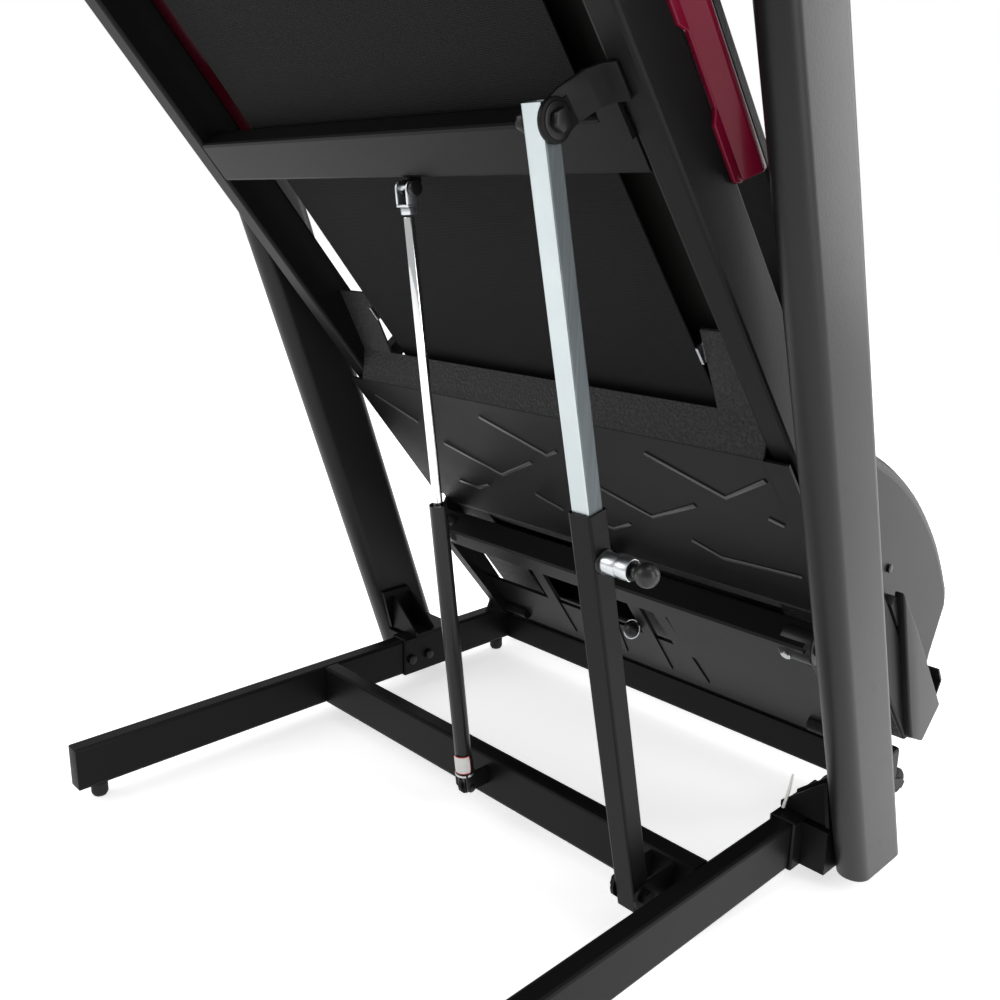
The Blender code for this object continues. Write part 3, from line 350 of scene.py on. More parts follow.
def castMetal(name, shade, rough):
    cast = Finish(name, Metallic=0.85)
    place = cast.coords()
    grit = cast.noise(place, 320, 5, 0.7)
    patch = cast.noise(place, 12, 4)
    cast.colour(cast.blend(patch, rgb(shade, shade, shade * 1.03),
                           rgb(shade * 0.6, shade * 0.58, shade * 0.56)))
    cast.roughness(rough + grit * 0.2)
    cast.bump(grit, 0.4, 0.0008)
    return cast.material


def rubberFinish(name, shade=0.010, rough=0.72):
    rubber = Finish(name, Specular_IOR_Level=0.3)
    place = rubber.coords()
    grit = rubber.noise(place, 500, 4, 0.6)
    bloom = rubber.noise(place, 22, 4)
    rubber.colour(rubber.blend(bloom * 0.6, rgb(shade, shade, shade),
                               rgb(shade * 2.2, shade * 2.2, shade * 2.1)))
    rubber.roughness(rough + bloom * 0.12)
    rubber.bump(grit, 0.3, 0.0006)
    return rubber.material


def boardFinish(name):
    board = Finish(name, Specular_IOR_Level=0.1)
    place = board.coords(-deckTilt, (1, 0.08, 1))
    grain = board.noise(place, 90, 5, 0.6)
    board.colour(board.blend(grain, rgb(0.005, 0.005, 0.005), rgb(0.011, 0.010, 0.009)))
    board.roughness(0.5 + grain * 0.2)
    board.bump(grain, 0.2, 0.0005)
    return board.material


def glassPanel(name):
    glass = Finish(name, Coat_Weight=0.6, Coat_Roughness=0.05)
    place = glass.coords()
    cloud = glass.noise(place, 4, 3)
    glass.colour(glass.blend(cloud, rgb(0.004, 0.005, 0.006), rgb(0.012, 0.014, 0.017)))
    glass.roughness(0.10 + cloud * 0.05)
    glass.bump(glass.noise(place, 300, 1), 0.02, 0.0003)
    return glass.material


def plainPlastic(name, tint, rough=0.35):
    plastic = Finish(name)
    place = plastic.coords()
    shade = plastic.noise(place, 120, 3)
    plastic.colour(plastic.blend(shade * 0.6, rgb(*tint), rgb(*(part * 0.7 for part in tint))))
    plastic.roughness(rough + shade * 0.08)
    plastic.bump(plastic.noise(place, 900, 2), 0.12, 0.0004)
    return plastic.material


lockTilt = -lockPlace.to_euler().x
frameBlack = powderCoat("frameBlack", 0.0048, 0.40, 0.11)
uprightBlack = powderCoat("uprightBlack", 0.0075, 0.42, 0.26)
hoodBlack = mouldedPlastic("hoodBlack", 0.0085, 0.42, 0.22, 0.6)
treadBlack = mouldedPlastic("treadBlack", 0.007, 0.5, 0.12, 1.4, 420)
panBlack = panPlastic("panBlack")
beltWeave = wovenBelt("beltWeave")
lockPaintedShadeFrom = 0.3165  # painted shade: past this, on the tube's outer side, the plating colour is darkened to stand in for shade
zincTube = platedSteel("zincTube", (0.50, 0.545, 0.55), 0.26, lockTilt, paintedShadeFrom=lockPaintedShadeFrom)
zincSmall = platedSteel("zincSmall", (0.58, 0.60, 0.61), 0.20, 0, (1, 1, 1), 0.5)
rodChrome = polishedChrome("rodChrome")
crimson = glossCrimson("crimsonGloss")
blackRubber = rubberFinish("blackRubber")
blackOxide = powderCoat("blackOxide", 0.006, 0.32, 0.25, 0.6)
castGrey = castMetal("castGrey", 0.16, 0.40)
deckBoard = boardFinish("deckBoardFace")
panelGlass = glassPanel("panelGlass")
greenKey = plainPlastic("greenKey", (0.02, 0.32, 0.07))
redKey = plainPlastic("redKey", (0.50, 0.018, 0.02))
paleLabel = plainPlastic("paleLabel", (0.60, 0.60, 0.59), 0.45)
labelRed = plainPlastic("labelRed", (0.55, 0.05, 0.05), 0.4)
nylonWhite = plainPlastic("nylonWhite", (0.80, 0.80, 0.76), 0.35)
darkPlug = mouldedPlastic("darkPlug", 0.008, 0.55, 0.15, 1.0)
gasBlack = powderCoat("gasBlack", 0.006, 0.30, 0.30, 0.3)
ballBlack = mouldedPlastic("ballBlack", 0.008, 0.32, 0.35, 0.3)
digitGreen = plainPlastic("digitGreen", (0.05, 0.30, 0.10))
gripFoam = rubberFinish("gripFoam", 0.008, 0.80)
ribBlack = mouldedPlastic("ribBlack", 0.020, 0.28, 0.6, 0.4)

finishes = {
    frameBlack: ("base_", "deck_tube", "deck_cross", "deck_front", "lift_frame", "upright_bracket",
                 "console_bar", "lock_outer"),
    gasBlack: ("strut_cylinder",),
    uprightBlack: ("upright_left", "upright_right", "handrail"),
    hoodBlack: ("motor_hood", "front_fascia", "console_shell", "rear_cap", "mains_inlet"),
    treadBlack: ("foot_rail",),
    panBlack: ("belly_pan",),
    beltWeave: ("running_belt",),
    zincTube: ("lock_inner",),
    zincSmall: ("front_roller", "rear_roller", "belt_guide", "incline_rod"),
    rodChrome: ("strut_rod",),
    crimson: ("side_trim",),
    blackRubber: ("foot_front", "foot_rear", "rear_leg", "transport_wheel", "drive_belt", "wire_loom"),
    blackOxide: ("lock_top_bolt", "lock_knob", "speed_up", "speed_down"),
    castGrey: ("drive_motor", "flywheel", "motor_controller", "incline_motor"),
    deckBoard: ("deck_board",),
    panelGlass: ("console_panel",),
    greenKey: ("start_button",),
    redKey: ("stop_button", "safety_key"),
}


def finishFrame():
    for name, node in nodes.items():
        for finish, starts in finishes.items():
            if name.startswith(starts):
                for holder in node.material_slots:
                    holder.material = finish
                break
        else:
            raise SystemExit("no finish for " + name)


def makeStage():
    bpy.ops.mesh.primitive_plane_add(size=1, location=(0, 0, -0.0005))
    floor = bpy.context.object
    floor.name = "studioFloor"
    floor.scale = (40, 40, 1)
    bpy.ops.object.transform_apply(location=True, rotation=True, scale=True)
    pale = Finish("paleFloor", Specular_IOR_Level=0.1)
    pale.colour(pale.blend(pale.noise(pale.coords(), 2, 2) * 0.1, rgb(0.98, 0.98, 0.98),
                           rgb(0.95, 0.95, 0.95)))
    pale.roughness(0.8)
    pale.shader.inputs["Emission Color"].default_value = (1, 1, 1, 1)
    pale.shader.inputs["Emission Strength"].default_value = floorGlow
    floor.data.materials.append(pale.material)


def pickOnly(*pieces):
    bpy.ops.object.select_all(action="DESELECT")
    for piece in pieces:
        piece.select_set(True)
    bpy.context.view_layer.objects.active = pieces[0]


def soften(piece, width, segments=2, angle=35):
    pickOnly(piece)
    if width:
        bpy.ops.object.modifier_add(type="BEVEL")
        bevel = piece.modifiers[-1]
        bevel.width, bevel.segments, bevel.limit_method = width, segments, "ANGLE"
        bevel.angle_limit = math.radians(30)
        bpy.ops.object.modifier_apply(modifier=bevel.name)
    bpy.ops.object.shade_smooth_by_angle(angle=math.radians(angle))
    return piece


def outlinePiece(name, points, push, edge=0.0, segments=2):
    bpy.ops.object.select_all(action="DESELECT")
    bpy.ops.mesh.primitive_circle_add(vertices=len(points), radius=0.01, fill_type="NGON")
    piece = bpy.context.object
    piece.name = name
    for corner, point in zip(piece.data.vertices, points):
        corner.co = point
    bpy.ops.object.mode_set(mode="EDIT")
    bpy.ops.mesh.select_all(action="SELECT")
    bpy.ops.mesh.extrude_region_move(TRANSFORM_OT_translate={"value": tuple(push)})
    bpy.ops.mesh.select_all(action="SELECT")
    bpy.ops.mesh.normals_make_consistent(inside=False)
    bpy.ops.object.mode_set(mode="OBJECT")
    return soften(piece, edge, segments)


def barPiece(name, start, end, radius, edge=0.0, sides=32, segments=2):
    run = Vector(end) - Vector(start)
    bpy.ops.object.select_all(action="DESELECT")
    bpy.ops.mesh.primitive_cylinder_add(vertices=sides, radius=radius, depth=run.length,
                                        location=(Vector(start) + Vector(end)) / 2,
                                        rotation=run.to_track_quat("Z", "Y").to_euler())
    piece = bpy.context.object
    piece.name = name
    bpy.ops.object.transform_apply(location=True, rotation=True, scale=True)
    return soften(piece, edge, segments)


def ringPiece(name, centre, way, radius, thick):
    bpy.ops.object.select_all(action="DESELECT")
    turn = Vector(way).to_track_quat("Z", "Y").to_euler()
    bpy.ops.mesh.primitive_torus_add(location=centre, rotation=turn, major_radius=radius, minor_radius=thick,
                                     major_segments=48, minor_segments=12)
    piece = bpy.context.object
    piece.name = name
    bpy.ops.object.transform_apply(location=True, rotation=True, scale=True)
    return soften(piece, 0)


def ballPiece(name, centre, radius):
    bpy.ops.object.select_all(action="DESELECT")
    bpy.ops.mesh.primitive_uv_sphere_add(segments=40, ring_count=24, radius=radius, location=centre)
    piece = bpy.context.object
    piece.name = name
    bpy.ops.object.transform_apply(location=True, rotation=True, scale=True)
    return soften(piece, 0, angle=60)


def joinPieces(name, *pieces):
    pickOnly(*pieces)
    bpy.ops.object.join()
    pieces[0].name = name
    return pieces[0]


def settle(piece, finish, body, slot, *replaced):
    piece.data.materials.clear()
    piece.data.materials.append(finish)
    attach(piece, body)
    if replaced:
        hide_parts(*replaced)


def onStrut(x, y, z):
    return strutPlace @ Vector((x, y, z))


def onLock(x, y, z):
    return lockPlace @ Vector((x, y, z))


def roundedLoop(width, depth, corner, steps=4):
    loop = []
    for signX, signY, start in ((1, 1, 0), (-1, 1, 90), (-1, -1, 180), (1, -1, 270)):
        for step in range(steps + 1):
            turn = math.radians(start + 90 * step / steps)
            loop.append((signX * (width / 2 - corner) + corner * math.cos(turn),
                         signY * (depth / 2 - corner) + corner * math.sin(turn)))
    return loop


def span(place, x, y, z):
    return place(x, y, z) - place(0, 0, 0)


def setBar(name, place, bar, high=0.0, sign=1):
    (x, y, z), (endX, endY, endZ), radius, edge, *rest = bar
    start = place(sign * x, y, high + z)
    return barPiece(name, start, place(sign * endX, endY, high + endZ), radius, edge, *rest)


fork = {"half": 0.0075, "thick": 0.0028, "edge": 0.0006, "steps": 10}


def clevis(name, at, sign, place, width, reach):
    half, thick, edge, bottom = fork["half"], fork["thick"], fork["edge"], at + sign * reach
    cheeks = []
    for side in (-1, 1):
        loop = [place(side * width, half * math.cos(turn), at - sign * half * math.sin(turn))
                for turn in [math.pi * step / fork["steps"] for step in range(fork["steps"] + 1)]]
        loop += [place(side * width, -half, bottom), place(side * width, half, bottom)]
        cheeks.append(outlinePiece(name + "Cheek", loop, span(place, -side * thick, 0, 0), edge))
    corners = ((-width, -half), (width, -half), (width, half), (-width, half))
    bridge = outlinePiece(name + "Bridge", [place(x, y, bottom) for x, y in corners],
                          span(place, 0, 0, sign * thick), edge)
    return joinPieces(name, *cheeks, bridge)


# each bar below is its two ends, its radius, its rounded edge, and its sides where they aren't 32
gasSpring = {
    "rodRadius": 0.0058, "rodLow": 0.352, "rodShort": 0.029, "rodEdge": 0.0006,
    "topFork": (0.0098, 0.0160), "footFork": (0.0118, 0.0170),
    "nut": ((0, 0, -0.0265), (0, 0, -0.0195), 0.0090, 0.0008, 6),
    "pin": ((-0.0125, 0, 0), (0.0125, 0, 0), 0.0042, 0.0005),
    "pinHead": ((0.0125, 0, 0), (0.0180, 0, 0), 0.0080, 0.0012),
    "footPin": ((-0.0140, 0, 0), (0.0140, 0, 0), 0.0040, 0.0005),
    "footRim": ((0, 0, 0.0168), (0, 0, 0.0200), 0.0128, 0.0009),
    "collar": ((0, 0, 0.0205), (0, 0, 0.0400), 0.0118, 0.0016),
}
springLabel = {
    "low": 0.0225, "high": 0.0475, "radius": 0.0121, "spread": 1.05, "middle": math.radians(-58),
    "inset": 0.0012, "lift": 0.00012, "narrower": 60, "bow": 0.10, "thick": 0.0002, "columns": 16, "rows": 8,
}


def makeGasSpring():
    top = strutLength
    low, high = gasSpring["rodLow"], top - gasSpring["rodShort"]
    shaft = barPiece("springRod", onStrut(0, 0, low), onStrut(0, 0, high), gasSpring["rodRadius"],
                     gasSpring["rodEdge"])
    settle(shaft, rodChrome, "strut_rod_body", "chrome", "strut_rod")
    yoke = clevis("springClevis", top, -1, onStrut, *gasSpring["topFork"])
    nut = setBar("springNut", onStrut, gasSpring["nut"], top)
    pin = setBar("springPin", onStrut, gasSpring["pin"], top)
    settle(joinPieces("springClevis", yoke, nut, pin), zincSmall, "strut_rod_body", "bright_zinc")
    cap = setBar("springPinHead", onStrut, gasSpring["pinHead"], top)
    settle(cap, blackOxide, "strut_rod_body", "black_powder_coat")
    foot = clevis("springFootClevis", 0.0, 1, onStrut, *gasSpring["footFork"])
    footPin = setBar("springFootPin", onStrut, gasSpring["footPin"])
    settle(joinPieces("springFootClevis", foot, footPin), blackOxide, "strut_body", "black_powder_coat")
    settle(setBar("springFootRim", onStrut, gasSpring["footRim"]), zincSmall, "strut_body", "bright_zinc")
    settle(setBar("springCollar", onStrut, gasSpring["collar"]), gasBlack, "strut_body", "black_powder_coat")
    for name, inset, lift, finish in (("springLabelEdge", 0.0, 0.0, labelRed),
                                      ("springLabel", springLabel["inset"], springLabel["lift"], paleLabel)):
        settle(labelPatch(name, inset, springLabel["radius"] + lift), finish, "strut_body", "black_plastic")


def labelPatch(name, inset, radius):
    low, high = springLabel["low"] + inset, springLabel["high"] - inset
    spread = springLabel["spread"] - inset * springLabel["narrower"]
    bpy.ops.object.select_all(action="DESELECT")
    bpy.ops.mesh.primitive_grid_add(x_subdivisions=springLabel["columns"], y_subdivisions=springLabel["rows"],
                                    size=1)
    patch = bpy.context.object
    patch.name = name
    for corner in patch.data.vertices:
        bow = 1 - springLabel["bow"] * (abs(corner.co.y) * 2) ** 4
        turn = springLabel["middle"] + corner.co.x * spread * 2 * bow
        height = low + (corner.co.y + 0.5) * (high - low)
        corner.co = onStrut(radius * math.cos(turn), radius * math.sin(turn), height)
    pickOnly(patch)
    bpy.ops.object.modifier_add(type="SOLIDIFY")
    patch.modifiers[-1].thickness = springLabel["thick"]
    bpy.ops.object.modifier_apply(modifier=patch.modifiers[-1].name)
    return soften(patch, 0)


lockTube = {
    "plunger": 0.4086, "ballRadius": 0.0118, "ballAt": (0.0640, 0),
    "sleeveRadius": 0.0108, "slotLength": 0.015, "sleeveEnd": 0.0480, "sleeveInside": 0.86,
    "slotFrom": -150, "slotTurn": 318, "slotSteps": 30, "slotEdge": 0.0004,
    "sleeveBase": ((0.0130, 0, 0), (0.0331, 0, 0), 0.0108, 0.0005, 40),
    "seat": ((0.0130, 0, 0), (0.0170, 0, 0), 0.0124, 0.0010, 40),
    "stem": ((0.0340, 0, 0), (0.0560, 0, 0), 0.0046, 0.0004),
    "collar": ((0.0485, 0, 0), (0.0560, 0, 0), 0.0068, 0.0012),
    "washer": ((0.0165, 0, 0), (0.0188, 0, 0), 0.0145, 0.0008, 40),
    "head": ((0.0188, 0, 0), (0.0255, 0, 0), 0.0100, 0.0012, 6),
    "nut": ((-0.0205, 0, 0), (-0.0128, 0, 0), 0.0092, 0.0012, 6),
    "boltEnd": ((-0.0245, 0, 0), (-0.0100, 0, 0), 0.0046, 0.0008),
}


def makeLockTube():
    high, radius, steps = lockTube["plunger"], lockTube["sleeveRadius"], lockTube["slotSteps"]
    turns = [math.radians(lockTube["slotFrom"] + lockTube["slotTurn"] * step / steps)
             for step in range(steps + 1)]
    rim = [(radius * math.cos(turn), radius * math.sin(turn)) for turn in turns]
    inner = [(x * lockTube["sleeveInside"], y * lockTube["sleeveInside"]) for x, y in reversed(rim)]
    slotStart, slotLength = lockTube["sleeveEnd"] - lockTube["slotLength"], lockTube["slotLength"]
    slotted = outlinePiece("plungerSleeve", [onLock(slotStart, y, high + x) for x, y in rim + inner],
                           span(onLock, slotLength, 0, 0), lockTube["slotEdge"])
    whole = setBar("plungerSleeveBase", onLock, lockTube["sleeveBase"], high)
    seat = setBar("plungerSeat", onLock, lockTube["seat"], high)
    stem = setBar("plungerStem", onLock, lockTube["stem"], high)
    settle(joinPieces("plungerSleeve", slotted, whole), zincSmall, "lock_outer_body", "bright_zinc")
    settle(seat, blackOxide, "lock_outer_body", "black_powder_coat")
    settle(stem, zincSmall, "lock_plunger", "bright_zinc")
    collar = setBar("plungerCollar", onLock, lockTube["collar"], high)
    knob = ballPiece("plungerBall", onLock(*lockTube["ballAt"], high), lockTube["ballRadius"])
    settle(joinPieces("plungerBall", knob, collar), ballBlack, "lock_plunger", "black_plastic", "lock_knob")
    fixings = [setBar(name, onLock, lockTube[key], lockLength) for name, key in
               (("lockTopWasher", "washer"), ("lockTopHead", "head"), ("lockTopNut", "nut"),
                ("lockTopEnd", "boltEnd"))]
    settle(joinPieces("lockTopFixings", *fixings), blackOxide, "lock_inner_body", "black_powder_coat")


panRibs = {
    "lines": (((-.107, .136), (-.010, .0835), (.0136, .097)), ((-.239, .052), (-.142, .008), (-.054, .058)),
              ((.175, .135), (.269, .084), (.336, .132)), ((.052, .042), (.129, .003), (.2145, .053)),
              ((-.091, -.019), (-.049, -.041)), ((.019, -.049), (.040, -.052), (.079, -.028)),
              ((-.337, .134), (-.270, .090)), ((-.268, -.041), (-.228, -.046), (-.195, -.030)),
              ((.179, -.0255), (.218, -.047), (.330, -.040)), ((.318, .0635), (.336, .056))),
    "halfWidth": 0.0030, "floor": -0.0100, "height": 0.0016, "edge": 0.0005,
}


def ribLoop(line, half):
    left, right = [], []
    for i, (x, along) in enumerate(line):
        before, after = line[max(i - 1, 0)], line[min(i + 1, len(line) - 1)]
        way = Vector((after[0] - before[0], after[1] - before[1])).normalized()
        left.append((x - way.y * half, along + way.x * half))
        right.append((x + way.y * half, along - way.x * half))
    return left + right[::-1]


def makePanRibs():
    down = span(onDeck, 0, 0, -panRibs["height"])
    ribs = []
    for line in panRibs["lines"]:
        loop = [onDeck(x, along, panRibs["floor"]) for x, along in ribLoop(line, panRibs["halfWidth"])]
        ribs.append(outlinePiece("panRib", loop, down, panRibs["edge"]))
    settle(joinPieces("panRibs", *ribs), ribBlack, "deck", "black_plastic")


hood = {
    "dome": ((.1200, .0640), (.1200, .1000), (.0200, .1450), (-.0500, .1770), (-.1300, .2015),
             (-.2100, .2120), (-.2700, .2110), (-.3250, .2025), (-.3480, .1850), (-.3640, .1550),
             (-.3860, .1160), (-.4110, .1100), (-.4230, .0790)),
    "half": 0.3620, "round": 0.0170,
    "wing": ((-.1670, .0830), (-.2530, .0850), (-.4227, .0790), (-.4280, .0190), (-.3930, .0025),
             (-.3470, .0170)),
    "wingIn": 0.3700, "wingOut": 0.3848, "wingEdge": 0.0030,
    "front": (-.4130, .0640), "thick": 0.003, "corners": 5,
    "ledge": ((-.1750, .0640), (-.1750, .0800), (-.4180, .0770), (-.4180, .0640)),
    "ledgeShare": 0.985, "ledgeOver": 0.004, "ledgeEdge": 0.0010,
    "screw": (-0.1440, 0.0970), "screwOut": 0.0035, "screwRadius": 0.0055, "screwEdge": 0.0010,
}


def curved(points, steps):
    made = []
    for i in range(len(points) - 1):
        around = [Vector(points[min(max(i + k, 0), len(points) - 1)]) for k in (-1, 0, 1, 2)]
        for step in range(steps):
            t = step / steps
            made.append(tuple(0.5 * (2 * around[1] + (around[2] - around[0]) * t
                                     + (2 * around[0] - 5 * around[1] + 4 * around[2] - around[3]) * t * t
                                     + (3 * around[1] - around[0] - 3 * around[2] + around[3]) * t * t * t)))
    return made + [tuple(points[-1])]


def makeHood():
    dome = [hood["dome"][0]] + curved(hood["dome"][1:9], 5) + curved(hood["dome"][8:], 3)[1:]
    half = hood["half"]
    loop = [onDeck(-half, along, height) for along, height in dome + [hood["front"]]]
    shell = outlinePiece("hoodShell", loop, (2 * half, 0, 0))
    pickOnly(shell)
    bpy.ops.object.mode_set(mode="EDIT")
    bpy.ops.mesh.select_all(action="DESELECT")
    bpy.ops.object.mode_set(mode="OBJECT")
    upward, rearward = span(onDeck, 0, 0, 1), span(onDeck, 0, 1, 0)
    for face in shell.data.polygons:
        face.select = face.normal.dot(upward) < -0.9 or face.normal.dot(rearward) > 0.9
    bpy.ops.object.mode_set(mode="EDIT")
    bpy.ops.mesh.delete(type="FACE")
    bpy.ops.mesh.select_all(action="DESELECT")
    bpy.ops.object.mode_set(mode="OBJECT")
    sides = {key: 0 for key in shell.data.edge_keys}
    for face in shell.data.polygons:
        for key in face.edge_keys:
            sides[key] += 1
    flat = {key for face in shell.data.polygons if abs(face.normal.x) > 0.9 for key in face.edge_keys}
    for line in shell.data.edges:
        line.select = line.key in flat and sides[line.key] == 2
    bpy.ops.object.mode_set(mode="EDIT")
    bpy.ops.mesh.select_mode(type="EDGE")
    bpy.ops.mesh.bevel(offset=hood["round"], segments=hood["corners"], affect="EDGES")
    bpy.ops.mesh.select_mode(type="VERT")
    bpy.ops.object.mode_set(mode="OBJECT")
    bpy.ops.object.modifier_add(type="SOLIDIFY")
    shell.modifiers[-1].thickness = hood["thick"]
    bpy.ops.object.modifier_apply(modifier=shell.modifiers[-1].name)
    soften(shell, 0, angle=30)
    settle(shell, hoodBlack, "deck", "black_plastic", "motor_hood")
    for name, sign in (("Left", -1), ("Right", 1)):
        inside, outside = hood["wingIn"] * sign, hood["wingOut"] * sign
        loop = [onDeck(inside, along, height) for along, height in hood["wing"]]
        wing = outlinePiece("hoodWing" + name, loop, (outside - inside, 0, 0), hood["wingEdge"], 3)
        root = half * sign * hood["ledgeShare"]
        ledge = outlinePiece("hoodLedge", [onDeck(root, along, height) for along, height in hood["ledge"]],
                             (inside - root + hood["ledgeOver"] * sign, 0, 0), hood["ledgeEdge"])
        settle(joinPieces("hoodWing" + name, wing, ledge), hoodBlack, "deck", "black_plastic")
        screw = barPiece("hoodScrew" + name, onDeck(half * sign, *hood["screw"]),
                         onDeck((half + hood["screwOut"]) * sign, *hood["screw"]), hood["screwRadius"],
                         hood["screwEdge"])
        settle(screw, blackOxide, "deck", "black_powder_coat")


trim = {
    "start": 0.455, "end": 1.310, "low": 0.0520, "step": 0.0604, "top": 0.0660, "slope": 0.010,
    "chamfer": 0.006,
    "notches": ((0.527, 0.595), (0.667, 0.735), (0.807, 0.875), (0.947, 1.015), (1.087, 1.155),
                (1.227, 1.310)),
    "flangeAt": 0.3730, "flangeThick": 0.0055, "flangeEdge": 0.0014, "faceEdge": 0.0012,
    "section": ((.3735, .0622), (.3783, .0610), (.3920, .0740), (.3920, .0800), (.3765, .0987),
                (.3732, .0987), (.3886, .0790), (.3886, .0754)),
}


def makeTrims():
    start, end, low, top, step, slope = (trim[key] for key in ("start", "end", "low", "top", "step", "slope"))
    edge = [(start + trim["chamfer"], low), (start, low + trim["chamfer"]), (start, top), (end, top)]
    for first, last in reversed(trim["notches"]):
        edge += [(end, step)] if last >= end else [(last + slope, low), (last, step)]
        edge += [(first, step), (first - slope, low)]
    for name, sign, node in (("Left", -1, "side_trim_left"), ("Right", 1, "side_trim_right")):
        flange = outlinePiece("trimFlange" + name,
                              [onDeck(sign * trim["flangeAt"], along, height) for along, height in edge],
                              (sign * trim["flangeThick"], 0, 0), trim["flangeEdge"], 3)
        section = [onDeck(sign * x, start, height) for x, height in trim["section"]]
        face = outlinePiece("trimFace" + name, section, span(onDeck, 0, end - start, 0), trim["faceEdge"], 3)
        settle(joinPieces("sideTrim" + name, flange, face), crimson, "deck", "gloss_crimson", node)


lockEar = {
    "bend": ((.3192, -.0500), (.3192, -.0330), (.3300, -.0110), (.3440, -.0048), (.3560, -.0048),
             (.3560, -.0008), (.3420, -.0008), (.3262, -.0086), (.3152, -.0318), (.3152, -.0500)),
    "shift": 0.0018, "from": 0.5790, "width": 0.034, "edge": 0.0012,
    "boss": ((0.3182, 0.5960, -0.0500), (0.3236, 0.5960, -0.0500), 0.0178, 0.0012, 48),
}
liftBits = {
    "domeAt": (0.012, -0.244, -0.0560), "domeRadius": 0.0126,
    "ringWay": (0, -0.91, 0.41), "ringRadius": 0.0138, "ringThick": 0.0011,
    "hinge": ((0.2990, -0.133, -0.0440), (0.3445, -0.133, -0.0440), 0.0225, 0.0030, 40, 3),
    "bolt": ((0.3100, -0.133, -0.0690), (0.3100, -0.133, -0.0640), 0.0070, 0.0010, 6),
}


def makeDeckBits():
    loop = [onDeck(x + lockEar["shift"], lockEar["from"], height) for x, height in lockEar["bend"]]
    strip = outlinePiece("lockEarStrip", loop, span(onDeck, 0, lockEar["width"], 0), lockEar["edge"])
    boss = setBar("lockEarBoss", onDeck, lockEar["boss"])
    settle(joinPieces("lockEarStrip", strip, boss), frameBlack, "deck", "black_powder_coat")
    centre = onDeck(*liftBits["domeAt"])
    ring = ringPiece("liftRing", centre, liftBits["ringWay"], liftBits["ringRadius"], liftBits["ringThick"])
    settle(ring, zincSmall, "lift_frame_body", "bright_zinc")
    dome = ballPiece("liftDome", centre, liftBits["domeRadius"])
    settle(dome, ballBlack, "lift_frame_body", "black_plastic")
    for name, sign in (("Left", -1), ("Right", 1)):
        disc = setBar("liftHinge" + name, onDeck, liftBits["hinge"], sign=sign)
        settle(disc, blackOxide, "lift_frame_body", "black_powder_coat")
        bolt = setBar("liftBolt" + name, onDeck, liftBits["bolt"], sign=sign)
        settle(bolt, zincSmall, "lift_frame_body", "bright_zinc")


upright = {
    "width": 0.0400, "depth": 0.1055, "corner": 0.0195, "steps": 12, "edge": 0.0008,
    "x": 0.4315, "footY": 0.636, "low": 0.021, "top": 1.250,
}


def makeUprights():
    loop = roundedLoop(upright["width"], upright["depth"], upright["corner"], upright["steps"])
    slope, low, rise = math.tan(uprightLean), upright["low"], upright["top"] - upright["low"]
    for name, sign, node in (("Left", -1, "upright_left"), ("Right", 1, "upright_right")):
        foot = [onFloor(sign * upright["x"] + x, upright["footY"] - slope * low + y, low) for x, y in loop]
        tube = outlinePiece("uprightTube" + name, foot, (0, -slope * rise, rise), upright["edge"])
        settle(tube, uprightBlack, "floor_frame", "black_powder_coat", node)


railPlug = {"x": 0.362, "y": -0.0012, "z": 0.051, "halfWidth": 0.0115, "halfHeight": 0.0285, "deep": 0.004,
            "edge": 0.0010}
socketBolt = {"from": 0.3455, "to": 0.3390, "y": (0.556, 0.592), "z": 0.046, "radius": 0.0085, "edge": 0.0012}
cableTie = {
    "x": 0.352, "width": 0.0032, "edge": 0.0004,
    "outline": ((.5560, .0870), (.5586, .0870), (.5680, .1040), (.5735, .1260), (.5660, .1060)),
}


def makeFloorBits():
    wide, tall = railPlug["halfWidth"], railPlug["halfHeight"]
    corners = ((-wide, -tall), (wide, -tall), (wide, tall), (-wide, tall))
    for name, sign in (("Left", -1), ("Right", 1)):
        loop = [onFloor(sign * railPlug["x"] + x, railPlug["y"], railPlug["z"] + z) for x, z in corners]
        plug = outlinePiece("railPlug" + name, loop, (0, railPlug["deep"], 0), railPlug["edge"])
        settle(plug, darkPlug, "floor_frame", "black_plastic")
        for i, y in enumerate(socketBolt["y"]):
            head = barPiece(f"socketBolt{name}{i}", onFloor(sign * socketBolt["from"], y, socketBolt["z"]),
                            onFloor(sign * socketBolt["to"], y, socketBolt["z"]), socketBolt["radius"],
                            socketBolt["edge"], 6)
            settle(head, blackOxide, "floor_frame", "black_powder_coat")
    loop = [onFloor(cableTie["x"], y, z) for y, z in cableTie["outline"]]
    tie = outlinePiece("cableTie", loop, (cableTie["width"], 0, 0), cableTie["edge"])
    settle(tie, nylonWhite, "floor_frame", "black_plastic")


console = {
    "panelTop": 0.0283, "window": (0.300, 0.070), "windowAt": (0, 0.052),
    "digit": (0.018, 0.032), "bar": 0.0030,
    "digitsAt": (-0.118, -0.094, -0.070, -0.012, 0.012, 0.070, 0.094, 0.118),
    "keys": ((-0.210, 0.013), (-0.070, 0.017), (0.070, 0.017), (0.210, 0.013)), "keyY": -0.058,
    "grilles": (-0.290, 0.290),
}
grip = {
    "radius": 0.0192, "height": 1.020, "behind": 0.008, "start": (-0.190, -0.006), "end": (-0.392, -0.0329),
    "edge": 0.0050, "rings": 9, "ringIn": 0.0004, "ringThick": 0.0016,
}


def onConsole(x, y, z):
    return consoleOrigin + consoleTurn.to_3x3() @ Vector((x, y, z))


def consolePlate(name, x, y, width, depth, corner, low, high, edge=0.0006):
    loop = [onConsole(x + px, y + py, low) for px, py in roundedLoop(width, depth, corner)]
    return outlinePiece(name, loop, span(onConsole, 0, 0, high - low), edge)


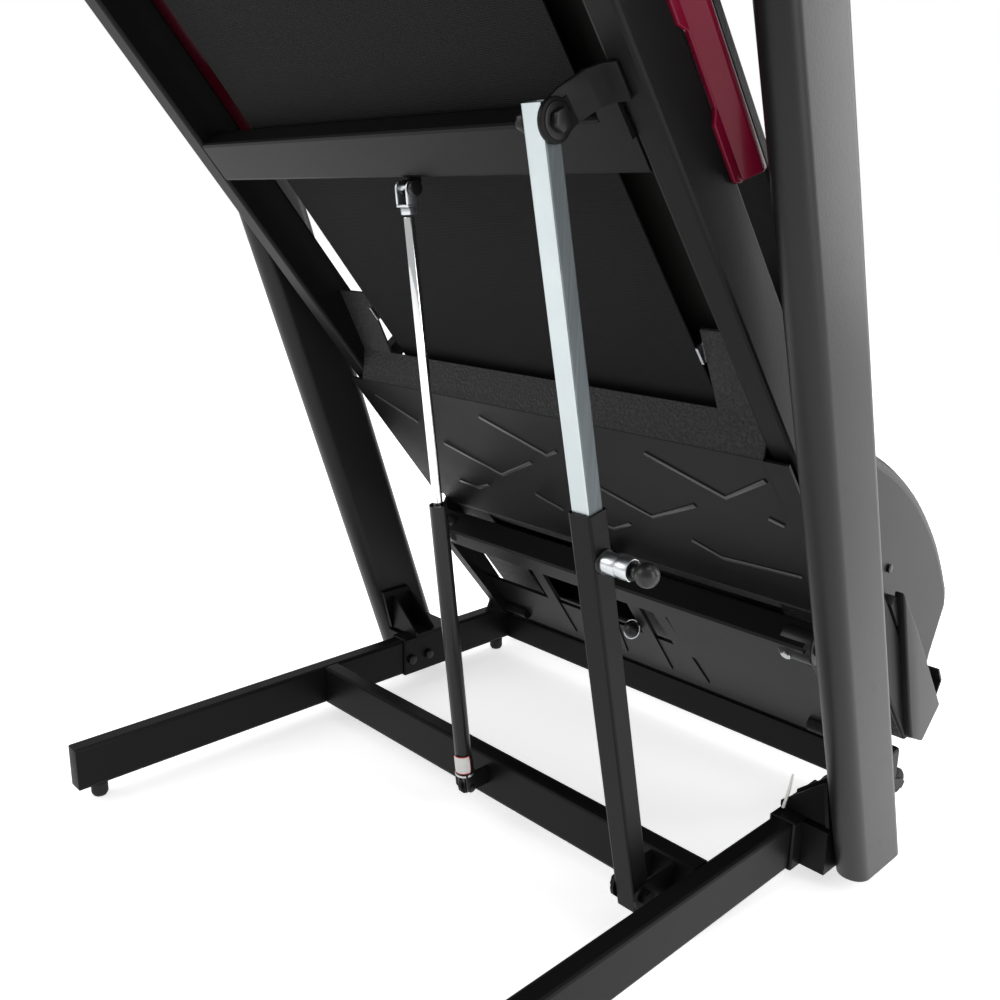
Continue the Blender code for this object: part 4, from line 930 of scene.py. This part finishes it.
def makeConsole():
    top = console["panelTop"]
    (width, depth), (x, y) = console["window"], console["windowAt"]
    frame = consolePlate("displayFrame", x, y, width + 0.018, depth + 0.018, 0.012, top - 0.001, top + 0.0016)
    settle(frame, treadBlack, "floor_frame", "black_plastic")
    glass = consolePlate("displayWindow", x, y, width, depth, 0.006, top + 0.0012, top + 0.0021, 0.0004)
    settle(glass, panelGlass, "floor_frame", "display_glass")
    tall, wide, bar = console["digit"][1], console["digit"][0], console["bar"]
    bars = [(0, tall / 2, True), (0, -tall / 2, True)]
    bars += [(side * wide / 2, rise * tall / 4, False) for rise in (1, -1) for side in (-1, 1)]
    lit = []
    for centre in console["digitsAt"]:
        for barX, barY, across in bars:
            size = (wide - bar * 1.4, bar) if across else (bar, tall / 2 - bar * 1.2)
            lit.append(consolePlate("digitBar", centre + barX, y + barY, *size, bar / 2.2, top + 0.0019,
                                    top + 0.0024, 0))
    settle(joinPieces("displayDigits", *lit), digitGreen, "floor_frame", "green_plastic")
    rims = [ringPiece("keyRim", onConsole(keyX, console["keyY"], top + 0.0006), span(onConsole, 0, 0, 1),
                      radius + 0.0032, 0.0016) for keyX, radius in console["keys"]]
    settle(joinPieces("keyRims", *rims), zincSmall, "floor_frame", "bright_zinc")
    slats = [consolePlate("grilleSlat", x, 0.010 + 0.014 * step, 0.090, 0.005, 0.0024, top - 0.001,
                          top + 0.0018) for x in console["grilles"] for step in range(-3, 5)]
    settle(joinPieces("consoleGrilles", *slats), treadBlack, "floor_frame", "black_plastic")


def makeGrips():
    high = grip["height"]
    back = upright["footY"] - high * math.tan(uprightLean) - upright["depth"] / 2 - grip["behind"]
    for name, sign in (("Left", -1), ("Right", 1)):
        start, end = (onFloor(sign * upright["x"], back + grip[key][0], high + grip[key][1])
                      for key in ("start", "end"))
        sleeve = barPiece("gripSleeve", start, end, grip["radius"], grip["edge"], 40, 4)
        shares = [(step + 1) / (grip["rings"] + 1) for step in range(grip["rings"])]
        rings = [ringPiece("gripRing", start.lerp(end, share), end - start, grip["radius"] - grip["ringIn"],
                           grip["ringThick"]) for share in shares]
        settle(joinPieces("handGrip" + name, sleeve, *rings), gripFoam, "floor_frame", "black_rubber")


print("camera, lights and floor")
makeCamera()
makeLights()
makeStage()
print("finishes")
finishFrame()
print("console and handrails")
makeConsole()
makeGrips()
print("uprights")
makeUprights()
print("gas spring")
makeGasSpring()
print("lock tube")
makeLockTube()
print("deck parts")
makePanRibs()
makeHood()
makeTrims()
makeDeckBits()
print("floor frame parts")
makeFloorBits()
